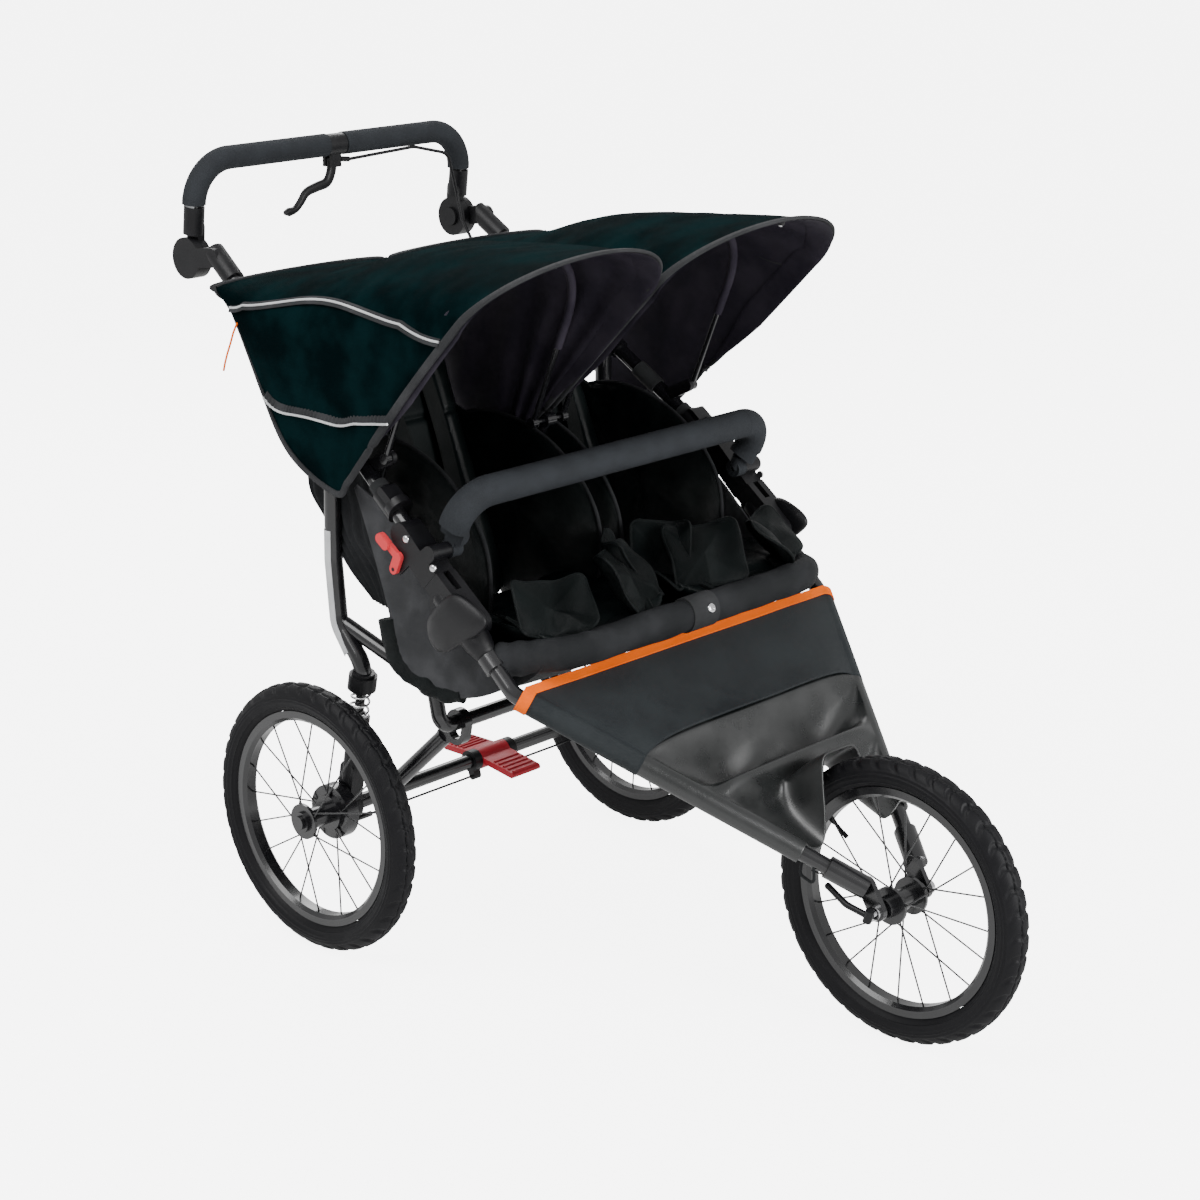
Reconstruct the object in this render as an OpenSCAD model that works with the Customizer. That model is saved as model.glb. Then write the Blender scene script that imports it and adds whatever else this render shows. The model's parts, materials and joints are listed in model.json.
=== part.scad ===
// Side-by-side two-seat jogging stroller: three spoked wheels, fold-in-half tube frame,
// sprung rear axle with drum brakes, tilting push handle, two hoods and two reclining seats.
// Millimetres, +Z up, the front wheel points to -Y, left is +X. The floor is z = 0.

/* [Stance] */
// Distance between the two rear wheel planes
track = 668; // [640:1:700]
// Distance from the rear axle to the front axle
wheelbase = 785; // [760:1:810]
// Place of the rear axle behind the origin
axle_y = 318; // [300:1:330]

/* [Wheels] */
// Outer radius of a tyre
wheel_r = 198.5; // [192:0.5:205]
// Radius of the tyre's round section
tyre_section_r = 21.5; // [19:0.5:23]
// Radius of the rim's inner face
rim_inner_r = 144; // [140:1:147]
// Width of a rim
rim_w = 26; // [22:1:30]
// Wall of the rim's flanges
rim_wall = 2.5; // [1.5:0.5:4]
// Spokes in a wheel
spoke_count = 20; // [12:4:32]
// Thickness of a spoke
spoke_d = 2.4; // [2:0.2:3]

/* [Hubs and brakes] */
// Diameter of a hub flange
hub_flange_d = 52; // [46:1:58]
// Thickness of a hub flange
hub_flange_t = 5; // [3:0.5:7]
// Diameter of a hub barrel
hub_barrel_d = 30; // [26:1:34]
// Distance from the wheel plane to the middle of a flange
hub_flange_x = 23; // [20:0.5:25]
// Diameter of the rear axle stubs
rear_stub_d = 12; // [10:0.5:14]
// Diameter of the front skewer
skewer_d = 9; // [8:0.5:10]
// Outer diameter of a brake drum
drum_d = 80; // [74:1:86]
// Wall of a brake drum
drum_wall = 4; // [3:0.5:5]
// Width of a brake drum
drum_w = 20; // [17:0.5:22]
// Radial gap of a running fit
fit_gap = 0.05; // [0.02:0.01:0.08]
// Gap between parts that move past each other
clear = 0.4; // [0.3:0.05:0.6]

/* [Frame tubes] */
// Diameter of the side tubes, crossbar and axle tube
tube_d = 22; // [20:0.5:24]
// Diameter of the rear legs
leg_d = 25; // [23:0.5:27]
// Distance of the side tubes from the middle at the fold joint
side_x = 318; // [312:1:322]
// Distance of the handle hinges from the middle
hinge_x = 264; // [260:1:268]
// Distance of the rear legs from the middle
leg_x = 275; // [270:1:277]
// Height of the fold pivot
fold_z = 546; // [543:1:549]
// Distance of the fold pivot in front of the rear axle
fold_back = 275; // [272:1:278]
// Diameter of the fold pins
fold_pin_d = 10; // [8:0.5:12]
// Width of the fold brackets and covers
joint_w = 34; // [32:1:36]
// Radius of the fold brackets and covers round the tubes
joint_r = 17; // [16:0.5:18]

/* [Rear suspension] */
// Diameter of the strut rods
strut_d = 14; // [12:0.5:15]
// Mean diameter of a spring
spring_d = 26; // [24:0.5:27]
// Thickness of the spring wire
spring_wire = 3.5; // [3:0.1:4]
// Turns of a spring
spring_turns = 3.5; // [3:0.25:4]
// Length of a spring between its seats
spring_len = 44; // [40:1:48]
// Height of the lower spring seat above the axle, along the strut
seat_s = 148; // [145:1:152]
// Diameter of the spring collars
collar_d = 41; // [38:1:43]
// Height of the spring collars
collar_h = 22; // [18:1:24]
// Travel of the axle along the struts
travel = 15; // [12:1:16]
// Distance of the swing arms from the middle
arm_x = 200; // [190:1:205]
// Diameter of the swing arms
arm_d = 24; // [22:0.5:25]

/* [Brake pedal] */
// Distance of the pedal to the left of the middle
pedal_x = 12; // [0:1:30]
// Width of the pedal
pedal_w = 58; // [50:1:66]
// Reach of the pedal's front lobe from the axle
pedal_front = 80; // [70:1:86]
// Reach of the pedal's rear lobe from the axle
pedal_rear = 70; // [60:1:76]
// Thickness of the pedal's lobes
pedal_t = 9; // [7:0.5:11]

/* [Handle] */
// Height of the handle's cross bar
handle_z = 1094; // [1080:1:1100]
// Height of the handle hinges
hinge_z = 956; // [952:1:960]
// Distance of the handle hinges behind the rear axle
hinge_back = 315; // [312:1:318]
// Diameter of the hinge discs
hinge_d = 60; // [54:1:64]
// Thickness of one hinge disc
hinge_t = 12; // [11:0.5:14]
// Diameter of the foam grips
foam_d = 34; // [31:0.5:37]
// Diameter of the hinge buttons
button_d = 28; // [24:1:32]
// Travel of the hinge buttons
button_travel = 5; // [3:0.5:6]

/* [Bumper bar] */
// Diameter of the bumper bar's foam
bumper_d = 42; // [38:0.5:44]
// Height of the bumper bar
bumper_z = 717; // [710:1:722]
// Half the length of the bumper bar
bumper_x = 330; // [322:1:334]

/* [Hoods] */
// Distance of a hood's outer wall from the middle, at its rear edge
hood_out = 328; // [326:1:332]
// Distance of a hood's outer wall from the middle, at its front edge
hood_flare = 360; // [350:1:364]
// Distance of a hood's inner wall from the middle
hood_in = 8; // [7:0.5:9]
// Height of the hoods' front edge
hood_top = 1038; // [1030:1:1045]
// Thickness of a hood's cloth and lining
hood_wall = 3; // [2:0.5:4]
// Thickness of a hood bow
bow_d = 8; // [6:0.5:9]
// Height of the hood pivots
hood_pivot_z = 745; // [740:1:750]
// Distance of the hood pivots in front of the rear axle
hood_pivot_back = 140; // [136:1:144]

/* [Seats] */
// Width of a seat pad
pad_w = 268; // [256:1:274]
// Thickness of a seat pad
pad_t = 30; // [24:1:34]
// Height of a backrest along its slope
back_len = 420; // [400:1:440]
// Width of a backrest
back_w = 236; // [220:1:240]
// Thickness of a backrest
back_t = 34; // [28:1:36]
// Slope of the backrests above the floor
back_slope = 68; // [64:1:72]
// Gap between the two seats
seat_gap = 24; // [22:1:28]

/* [Hidden] */
$fn = 48;

black = "#1b1b1d";
satin = "#2a2a2c";
foam_grey = "#35373a";
cloth = "#1d2224";
hood_cloth = "#0a1a1a";
chrome = "#c9cbcd";
red = "#d8343a";
orange = "#f57a1f";

// wheel places and tyre sizes
hub_z = wheel_r;
tyre_mid_r = wheel_r - tyre_section_r;
rim_edge_r = rim_inner_r + 15;
rim_bed_r = rim_inner_r + 8;
wheel_x = track / 2;
// fold joint: pivot, upper tube foot, seam between bracket and cover, lower tube head
fold_p = [-fold_back, fold_z];
tube_foot = [side_x, -205, 647];
tube_head = [hinge_x - 2, 258, 963];
tube_axis = (tube_head - tube_foot) / norm(tube_head - tube_foot);
bracket_top = [-190, 653];
bracket_low = [-238, 609];
seam = [-247, 601];
seam_turn = atan2(bracket_top[1] - bracket_low[1], bracket_top[0] - bracket_low[0]);
cover_nose = [-312, 553];
lower_head = [side_x, -296.2, 549.3];
lower_bend = [side_x, -385, 472];
lower_foot = [58, -765, 232];
lower_axis = (lower_foot - lower_bend) / norm(lower_foot - lower_bend);
ear_t = 10;
// radius of the bracket's ear round the fold pin
ear_r = 14;
bumper_pivot = [-246, 638];
bumper_pin_d = 8;
// struts run from the hub centre up and forward
strut_axis = [0, -0.1975, 0.9803];
collar_s = seat_s + spring_len;
strut_end_s = 60;
function strut(s) = [leg_x, 0, hub_z] + strut_axis * s;
leg_top = [leg_x, 8, 778];
leg_mid = [leg_x, 13, 566];
leg_low = [leg_x, 5, 474];
bar_mid = [-158, 347];
// handle
grip_y = 303;
foam_low_z = 1042;
// rod that the two backrests swing on
back_rod = [-88, 462];
back_rod_d = 10;
hood_pivot = [-hood_pivot_back, hood_pivot_z];
centre_post_d = 14;
hood_pin_d = 6;
bow_out = hood_out - 18;
bow_in = hood_in + 22;
eye_half = bow_d / 2 + 1;

// moves a piece from the rear axle's frame to the part's origin
module placed() { translate([0, axle_y, 0]) children(); }

// a copy on both sides of the middle
module both() {
    children();
    mirror([1, 0, 0]) children();
}

// a round bar between two points
module rod(a, b, d) {
    v = b - a;
    translate(a) rotate([0, acos(v[2] / norm(v)), atan2(v[1], v[0])]) cylinder(d = d, h = norm(v));
}

// a round bar along X with its ends at x0 and x1
module cross_rod(x0, x1, yz, d) {
    translate([x0, yz[0], yz[1]]) rotate([0, 90, 0]) cylinder(d = d, h = x1 - x0);
}

// a flat outline in the Y-Z plane, thickened along X from x0 to x1
module plate(x0, x1) {
    translate([x0, 0, 0]) rotate([90, 0, 90]) linear_extrude(x1 - x0) children();
}

// a flat bar with round ends between two points
module stadium(a, b, r) {
    v = (b - a) / norm(b - a) * r;
    n = [-v[1], v[0]];
    translate(a) circle(r);
    translate(b) circle(r);
    polygon([a + n, b + n, b - n, a - n]);
}

function unit(v) = v / norm(v);
function cut_back(p, i, r) = r * tan(acos(unit(p[i] - p[i - 1]) * unit(p[i + 1] - p[i])) / 2);

// a bent tube through points, with round elbows of radius r that swell a little where they take the tube
elbow_swell = 0.3;
elbow_lap = 1;

module bent_tube(p, d, r) {
    last = len(p) - 1;
    for (i = [1 : last]) {
        u = unit(p[i] - p[i - 1]);
        start = i == 1 ? p[0] : p[i - 1] + u * (cut_back(p, i - 1, r) - elbow_lap);
        end = i == last ? p[i] : p[i] - u * (cut_back(p, i, r) - elbow_lap);
        rod(start, end, d);
    }
    for (i = [1 : last - 1]) {
        u = unit(p[i] - p[i - 1]);
        v = unit(p[i + 1] - p[i]);
        n = unit(v - u * (u * v));
        c = p[i] - u * cut_back(p, i, r) + n * r;
        w = cross(-n, u);
        multmatrix([[-n[0], u[0], w[0], c[0]], [-n[1], u[1], w[1], c[1]], [-n[2], u[2], w[2], c[2]]])
            rotate_extrude(angle = acos(u * v)) translate([r, 0]) circle(d = d + elbow_swell);
    }
}

// faces of a closed grid of m rings with n points each; the ends are capped
function grid_faces(m, n) = concat(
    [for (i = [0 : m - 2]) for (j = [0 : n - 1]) [i * n + j, i * n + (j + 1) % n, (i + 1) * n + j]],
    [for (i = [0 : m - 2]) for (j = [0 : n - 1])
        [i * n + (j + 1) % n, (i + 1) * n + (j + 1) % n, (i + 1) * n + j]],
    [for (j = [1 : n - 2]) [0, j + 1, j]],
    [for (j = [1 : n - 2]) [(m - 1) * n, (m - 1) * n + j, (m - 1) * n + j + 1]]);

// a closed solid through rings of points
module loft(rings) {
    polyhedron([for (ring = rings) each ring], grid_faces(len(rings), len(rings[0])));
}

// faces of a sheet of m by n points on its top, with the same again below
function sheet_faces(m, n) = let (k = m * n) concat(
    [for (i = [0 : m - 2]) for (j = [0 : n - 2]) each
        [[i * n + j, i * n + j + 1, (i + 1) * n + j], [i * n + j + 1, (i + 1) * n + j + 1, (i + 1) * n + j]]],
    [for (i = [0 : m - 2]) for (j = [0 : n - 2]) each
        [[k + i * n + j, k + (i + 1) * n + j, k + i * n + j + 1],
         [k + i * n + j + 1, k + (i + 1) * n + j, k + (i + 1) * n + j + 1]]],
    [for (i = [0 : m - 2]) each
        [[i * n, (i + 1) * n, k + i * n], [(i + 1) * n, k + (i + 1) * n, k + i * n],
         [i * n + n - 1, k + i * n + n - 1, (i + 1) * n + n - 1],
         [(i + 1) * n + n - 1, k + i * n + n - 1, k + (i + 1) * n + n - 1]]],
    [for (j = [0 : n - 2]) let (e = (m - 1) * n) each
        [[j, k + j, j + 1], [j + 1, k + j, k + j + 1],
         [e + j, e + j + 1, k + e + j], [e + j + 1, k + e + j + 1, k + e + j]]]);

// a thin curved solid between an upper and a lower grid of points
module sheet(top, bottom) {
    polyhedron(concat([for (row = top) each row], [for (row = bottom) each row]),
               sheet_faces(len(top), len(top[0])));
}

// Wheels

module tyre_shape() {
    difference() {
        union() {
            translate([tyre_mid_r, 0]) circle(tyre_section_r);
            translate([rim_bed_r, -rim_w / 2 + rim_wall])
                square([rim_edge_r - rim_bed_r + 4, rim_w - 2 * rim_wall]);
        }
        for (side = [-1, 1])
            translate([rim_bed_r - 20, side > 0 ? rim_w / 2 - rim_wall : -rim_w / 2 - 20])
                square([rim_edge_r - rim_bed_r + 20, 20 + rim_wall]);
        translate([0, -40]) square([rim_bed_r, 80]);
    }
}

module rim_shape() {
    lip = rim_wall;
    polygon([[rim_inner_r, -rim_w / 2 + 5], [rim_inner_r + 5, -rim_w / 2], [rim_edge_r, -rim_w / 2],
             [rim_edge_r, -rim_w / 2 + lip], [rim_bed_r, -rim_w / 2 + lip], [rim_bed_r, rim_w / 2 - lip],
             [rim_edge_r, rim_w / 2 - lip], [rim_edge_r, rim_w / 2], [rim_inner_r + 5, rim_w / 2],
             [rim_inner_r, rim_w / 2 - 5]]);
}

// turns a shape drawn about Z into one about X at a wheel's centre
module on_axle(x, y) { translate([x, y, hub_z]) rotate([0, 90, 0]) children(); }

module tyre(x, y) { color(foam_grey) on_axle(x, y) rotate_extrude($fn = 96) tyre_shape(); }

module rim(x, y) { color(black) on_axle(x, y) rotate_extrude($fn = 96) rim_shape(); }

// spokes lean along and across the wheel, and alternate between the two flanges
module spokes() {
    root_r = hub_flange_d / 2 - 4;
    tip_r = rim_inner_r - clear / 2;
    lean = 28;
    for (i = [0 : spoke_count - 1]) {
        side = i % 2 == 0 ? 1 : -1;
        way = floor(i / 2) % 2 == 0 ? 1 : -1;
        tip = i * 360 / spoke_count;
        foot = tip + way * lean;
        rod([root_r * cos(foot), root_r * sin(foot), side * hub_flange_x],
            [tip_r * cos(tip), tip_r * sin(tip), side * 2], spoke_d);
    }
}

// half-lengths of a hub on its two sides, and its flanges about the wheel plane
module hub_body(low, high, bore) {
    difference() {
        union() {
            translate([0, 0, low]) cylinder(d = hub_barrel_d, h = high - low);
            for (side = [-1, 1])
                translate([0, 0, side * hub_flange_x - hub_flange_t / 2])
                    cylinder(d = hub_flange_d, h = hub_flange_t);
            spokes();
        }
        translate([0, 0, low - 1]) cylinder(d = bore + 2 * fit_gap, h = high - low + 2);
    }
}

front_hub_half = 40;
rear_hub_out = 30;
drum_out_x = wheel_x - hub_flange_x - hub_flange_t / 2;
drum_in_x = drum_out_x - drum_w;

module front_hub() {
    color(black) placed() on_axle(0, -wheelbase) hub_body(-front_hub_half, front_hub_half, skewer_d);
}

// the drum is open towards the brake plate
module rear_hub() {
    color(black) on_axle(wheel_x, 0) {
        hub_body(-hub_flange_x - hub_flange_t / 2, rear_hub_out, rear_stub_d);
        translate([0, 0, drum_in_x - wheel_x]) difference() {
            cylinder(d = drum_d, h = drum_w);
            translate([0, 0, -1]) cylinder(d = drum_d - 2 * drum_wall, h = drum_w - drum_wall + 1);
            cylinder(d = hub_barrel_d - 2, h = drum_w + 1);
        }
    }
}

module front_tyre() { placed() tyre(0, -wheelbase); }
module front_rim() { placed() rim(0, -wheelbase); }
module left_tyre() { placed() tyre(wheel_x, 0); }
module left_rim() { placed() rim(wheel_x, 0); }
module left_hub() { placed() rear_hub(); }
module right_tyre() { placed() tyre(-wheel_x, 0); }
module right_rim() { placed() rim(-wheel_x, 0); }
module right_hub() { placed() mirror([1, 0, 0]) rear_hub(); }

// Rear axle

upright_in = 262;
upright_out = drum_in_x - 3;
plate_t = 3;

module axle_tube() {
    color(black) placed() {
        cross_rod(-upright_out, upright_out, [0, hub_z], tube_d);
        both() cross_rod(upright_out, wheel_x + rear_hub_out + 2, [0, hub_z], rear_stub_d);
        both() cross_rod(wheel_x + rear_hub_out + clear, wheel_x + rear_hub_out + 5, [0, hub_z], 20);
    }
}

// the socket takes the strut rod, and the clamp takes the axle tube
module uprights() {
    socket_d = 27;
    socket_s = 46;
    web_s = 62;
    seat_t = 8;
    bore_low_s = strut_end_s - travel - 6;
    color(black) placed() both() difference() {
        union() {
            plate(upright_in, upright_out)
                stadium([0, hub_z], [strut(web_s)[1], strut(web_s)[2]], socket_d / 2 + 0.5);
            rod(strut(socket_s), strut(seat_s), socket_d);
            rod(strut(seat_s - seat_t), strut(seat_s), collar_d - 7);
            cross_rod(upright_in, upright_out, [0, hub_z], 40);
        }
        rod(strut(bore_low_s), strut(seat_s + 1), strut_d + 2 * fit_gap);
        cross_rod(upright_in - 1, upright_out + 1, [0, hub_z], tube_d);
    }
}

// fixed plate that closes the drum, with its two shoes
module brake_plates() {
    plate_d = drum_d - 2 * drum_wall - 2;
    shoe_r = drum_d / 2 - drum_wall - 1.5;
    color(satin) placed() both() {
        difference() {
            cross_rod(upright_out, upright_out + plate_t, [0, hub_z], plate_d);
            cross_rod(upright_out - 1, upright_out + plate_t + 1, [0, hub_z], rear_stub_d);
        }
        translate([upright_out + plate_t, 0, hub_z]) rotate([0, 90, 0])
            for (turn = [20, 200]) rotate([0, 0, turn])
                rotate_extrude(angle = 140) translate([shoe_r - 6, 0]) square([6, drum_w - drum_wall - 3]);
    }
}

// ring on the axle, sloping tube and link plate with a slot for the under-seat bar
module swing_arms() {
    head = [arm_x, -130, 320];
    slot_r = tube_d / 2 + clear;
    up = [strut_axis[1], strut_axis[2]];
    color(black) placed() both() difference() {
        union() {
            rod([arm_x, 0, hub_z], head, arm_d);
            cross_rod(arm_x - 15, arm_x + 15, [0, hub_z], 36);
            plate(arm_x - 7, arm_x + 7) {
                stadium(bar_mid, bar_mid - up * travel, slot_r + 8);
                stadium([head[1], head[2]], bar_mid - up * travel, 12);
            }
        }
        cross_rod(arm_x - 16, arm_x + 16, [0, hub_z], tube_d);
        plate(arm_x - 40, arm_x + 40) stadium(bar_mid, bar_mid - up * travel, slot_r);
    }
}

clamp_w = 14;
rod_yz = [-6, hub_z - 22];
rod_d = 3.5;

module pedal_clamps() {
    color(black) placed() translate([pedal_x, 0, 0]) both() difference() {
        union() {
            cross_rod(pedal_w / 2 + clear, pedal_w / 2 + clear + clamp_w, [0, hub_z], 33);
            plate(pedal_w / 2 + clear, pedal_w / 2 + clear + clamp_w) stadium([0, hub_z], rod_yz, 6);
        }
        cross_rod(0, pedal_w, [0, hub_z], tube_d);
        cross_rod(0, pedal_w, rod_yz, rod_d);
    }
}

module brake_rod() {
    color(chrome) placed() for (side = [1, -1]) mirror([side < 0 ? 1 : 0, 0, 0]) {
        cross_rod(side * pedal_x + pedal_w / 2 + 2, upright_out, rod_yz, rod_d);
        difference() {
            cross_rod(upright_in - 26, upright_in - 2, rod_yz, 8);
            cross_rod(upright_in - 27, upright_in - 1, rod_yz, rod_d);
        }
    }
}

// rocker with a ribbed lobe in front of the axle and one behind it
module brake_pedal() {
    rib = 2;
    foot = [0, hub_z + 4];
    front = [-pedal_front + pedal_t / 2, hub_z - 7];
    rear = [pedal_rear - pedal_t / 2, hub_z + 3];
    color(red) placed() translate([pedal_x, 0, 0]) difference() {
        union() {
            cross_rod(-pedal_w / 2, pedal_w / 2, [0, hub_z], 33);
            plate(-pedal_w / 2, pedal_w / 2) {
                stadium(foot, front, pedal_t / 2);
                stadium(foot, rear, pedal_t / 2);
            }
            for (k = [0 : 4], lobe = [front, rear]) let (q = foot + (lobe - foot) * (1 - 0.13 * k))
                cross_rod(-pedal_w / 2 + 4, pedal_w / 2 - 4, q + [0, pedal_t / 2], 2 * rib);
        }
        cross_rod(-pedal_w, pedal_w, [0, hub_z], tube_d + 2 * fit_gap);
    }
}

// Rear frame

module upper_tubes() { color(black) placed() both() rod(tube_foot, tube_head, tube_d); }

module leg_shape() {
    bent_tube([leg_top, leg_mid, leg_low, strut(collar_s + 34), strut(collar_s)], leg_d, 40);
    rod(strut(strut_end_s), strut(collar_s), strut_d);
}

// point of the upper tube at a given y
function on_upper(y) = tube_foot + tube_axis * ((y - tube_foot[1]) / tube_axis[1]);

// each leg ends in a saddle round the upper tube
module rear_legs() {
    saddle = on_upper(leg_top[1]);
    color(black) placed() both() difference() {
        union() {
            leg_shape();
            rod(saddle - tube_axis * 20, saddle + tube_axis * 20, tube_d + 8);
        }
        rod(saddle - tube_axis * 40, saddle + tube_axis * 40, tube_d);
    }
}

module spring_collars() {
    color(black) placed() both() difference() {
        union() {
            rod(strut(collar_s), strut(collar_s + collar_h), collar_d);
            rod(strut(collar_s + collar_h), strut(collar_s + collar_h + 5), collar_d - 8);
        }
        leg_shape();
    }
}

// a wire of round section along points, each ring square to the path
wire_sides = 6;
function ring_at(p, t, r, sides) = let (
        side = unit(cross(t, abs(t[2]) > 0.9 ? [1, 0, 0] : [0, 0, 1])), up = cross(side, t))
    [for (k = [0 : sides - 1]) p + r * (cos(k * 360 / sides) * side + sin(k * 360 / sides) * up)];
function wire_rings(p, r, sides) = [for (i = [0 : len(p) - 1])
    ring_at(p[i], unit(p[min(i + 1, len(p) - 1)] - p[max(i - 1, 0)]), r, sides)];

// centre line of a spring about the strut, with a straight end of one wire width
curl_rings = 8;
spring_rise = spring_len - spring_wire - 1;
function coil_point(a) = [spring_d / 2 * cos(a), spring_d / 2 * sin(a),
                          spring_wire / 2 + 0.5 + spring_rise * a / (360 * spring_turns)];
function spring_line() = let (
        steps = ceil(curl_rings * spring_turns), last = 360 * spring_turns,
        coil = [for (i = [0 : steps]) coil_point(i * last / steps)],
        head = [-sin(last), cos(last), 0])
    concat([coil[0] - [0, spring_wire, 0]], coil, [coil[steps] + head * spring_wire]);
spring_gap = min([for (i = [0 : len(spring_line()) - 1]) for (j = [0 : len(spring_line()) - 1])
    if (j - i > curl_rings / 2) norm(spring_line()[i] - spring_line()[j])]) - spring_wire;
echo(spring_gap = spring_gap);

module strut_springs() {
    tilt = atan2(-strut_axis[1], strut_axis[2]);
    color(chrome) placed() both() translate(strut(seat_s)) rotate([tilt, 0, 0])
        loft(wire_rings(spring_line(), spring_wire / 2, wire_sides));
}

// low bar under the seats; its ends rise to the rear legs
bar_half = 236;
bar_bend_r = 20;
bar_end = [leg_x - 4, -2, 474];
bar_knee = [bar_half, bar_mid[0] + 12, 405];
bar_corner = [bar_half, bar_mid[0], bar_mid[1]];
function flip(p) = [-p[0], p[1], p[2]];

module under_seat_bar() {
    color(black) placed() difference() {
        bent_tube([flip(bar_end), flip(bar_knee), flip(bar_corner), bar_corner, bar_knee, bar_end],
                  tube_d, bar_bend_r);
        both() leg_shape();
    }
}

// post between the seats, from the low bar to the inner hood pivots
module centre_post() {
    pin_x = bow_in + eye_half;
    boss_x = centre_post_d / 2 + 1.5;
    color(black) placed() difference() {
        union() {
            bent_tube([[0, bar_mid[0] + 7, bar_mid[1] + 12], [0, back_rod[0], back_rod[1]], [0, -62, 640],
                       [0, hood_pivot[0], hood_pivot[1]]], centre_post_d, 30);
            cross_rod(-boss_x, boss_x, hood_pivot, 20);
            cross_rod(-pin_x, pin_x, hood_pivot, hood_pin_d);
            cross_rod(-boss_x, boss_x, back_rod, 20);
            cross_rod(-boss_x - 2, boss_x + 2, bar_mid, tube_d + 9);
        }
        cross_rod(-pin_x - 20, pin_x + 20, bar_mid, tube_d);
        cross_rod(-pin_x - 20, pin_x + 20, back_rod, back_rod_d);
    }
}

// rod through the feet of both backrests, held by the post and by two ears on the low bar
module back_hinge_rod() {
    ear_x = 240;
    color(black) placed() {
        cross_rod(-ear_x - 6, ear_x + 6, back_rod, back_rod_d);
        both() difference() {
            plate(ear_x, ear_x + 5) stadium(back_rod, [-88, 437], 9);
            bent_tube([bar_corner, bar_knee, bar_end], tube_d, bar_bend_r);
        }
    }
}

module fold_bracket_outline() {
    difference() {
        union() {
            stadium(bracket_top, bracket_low + (bracket_low - bracket_top) / 2, joint_r);
            stadium(bumper_pivot, [-226, 622], 11);
        }
        translate(seam) rotate(seam_turn) translate([-100, -60]) square([100, 120]);
    }
}

// sleeve on the foot of the upper tube, with an ear to the fold pin and a stub for the bumper
module fold_bracket() {
    x0 = side_x - joint_w / 2;
    ear_x = side_x - ear_t / 2;
    difference() {
        union() {
            plate(x0, x0 + joint_w) fold_bracket_outline();
            plate(ear_x, ear_x + ear_t) stadium(fold_p, [-232, 612], ear_r);
            cross_rod(x0 - 16, x0, bumper_pivot, bumper_pin_d);
        }
        rod(tube_foot - tube_axis * 0.2, tube_foot + tube_axis * 80, tube_d);
        cross_rod(ear_x - 1, ear_x + ear_t + 1, fold_p, fold_pin_d + 2 * fit_gap);
    }
}

// the right bracket carries the plate of the safety catch
catch_p = [-183, 606];
catch_x = side_x + joint_w / 2;

module fold_brackets() {
    color(black) placed() {
        fold_bracket();
        mirror([1, 0, 0]) {
            fold_bracket();
            difference() {
                union() {
                    plate(catch_x - 4, catch_x) stadium(catch_p, [-212, 632], 10);
                    cross_rod(catch_x, catch_x + 7, catch_p, 5);
                }
                rod(tube_foot - tube_axis * 0.2, tube_foot + tube_axis * 80, tube_d);
            }
        }
    }
}

// red latch that locks the right fold catch
module safety_catch() {
    t = 6;
    color(red) placed() mirror([1, 0, 0]) difference() {
        union() {
            plate(catch_x + clear, catch_x + clear + t) {
                stadium(catch_p, [-191, 624], 7);
                stadium([-193, 623], [-159, 647], 5);
            }
            plate(catch_x + clear + 1, catch_x + clear + t + 4) stadium([-171, 638], [-161, 645], 7);
        }
        cross_rod(catch_x - 1, catch_x + 20, catch_p, 5 + 2 * fit_gap);
    }
}

// sliding sleeve on the upper tube with a finger grip on top
module fold_catch() {
    low = on_upper(-166);
    high = on_upper(-132);
    up = unit(cross([1, 0, 0], tube_axis));
    color(black) placed() difference() {
        union() {
            rod(low, high, tube_d + 9);
            rod(low + up * 8, low + up * 8 + tube_axis * 12, tube_d + 14);
            plate(side_x - 18, side_x + 10) stadium([-162, 692], [-146, 704], 6);
        }
        rod(low - tube_axis * 20, high + tube_axis * 20, tube_d + 2 * fit_gap);
    }
}
module fold_catch_left() { fold_catch(); }
module fold_catch_right() { mirror([1, 0, 0]) fold_catch(); }

// Front frame

module fold_cover_outline() {
    difference() {
        union() {
            stadium(seam - [cos(seam_turn), sin(seam_turn)] * -joint_r, cover_nose, joint_r);
            translate(fold_p) circle(28);
            polygon([seam, cover_nose, cover_nose - [0, joint_r], fold_p - [0, 28], fold_p + [28, 0]]);
        }
        translate(seam - [cos(seam_turn), sin(seam_turn)] * clear) rotate(seam_turn)
            translate([0, -60]) square([100, 140]);
    }
}

// moulded cover round the fold pin; the slot lets the bracket's ear swing out backwards
module fold_covers() {
    slot = ear_t / 2 + clear;
    color(black) placed() both() difference() {
        plate(side_x - joint_w / 2, side_x + joint_w / 2) fold_cover_outline();
        plate(side_x - slot, side_x + slot) {
            translate(fold_p) circle(ear_r + clear);
            translate(fold_p) rotate(-40) square([100, ear_r + clear + 4]);
            translate(fold_p) rotate(-19) translate([0, -ear_r - 1.6]) square([100, 20]);
            translate(fold_p) polygon([[0, 0], [100, -84], [100, 100], [-4, 100], [-14, 14]]);
        }
        rod(lower_bend, lower_head, tube_d);
        cross_rod(side_x - 40, side_x + 40, fold_p, fold_pin_d);
    }
}

module fold_pins() {
    color(chrome) placed() both() {
        cross_rod(side_x - joint_w / 2, side_x + joint_w / 2, fold_p, fold_pin_d);
        cross_rod(side_x + joint_w / 2, side_x + joint_w / 2 + 2.5, fold_p, 16);
        cross_rod(side_x - joint_w / 2 - 2.5, side_x - joint_w / 2, fold_p, 16);
    }
}

module lower_tube_shape() { bent_tube([lower_head, lower_bend, lower_foot], tube_d, 32); }

module lower_tubes() { color(black) placed() both() lower_tube_shape(); }

// point of the lower tube in front of its bend, at a given y
function on_lower(y) = lower_bend + lower_axis * ((y - lower_bend[1]) / lower_axis[1]);

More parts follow.
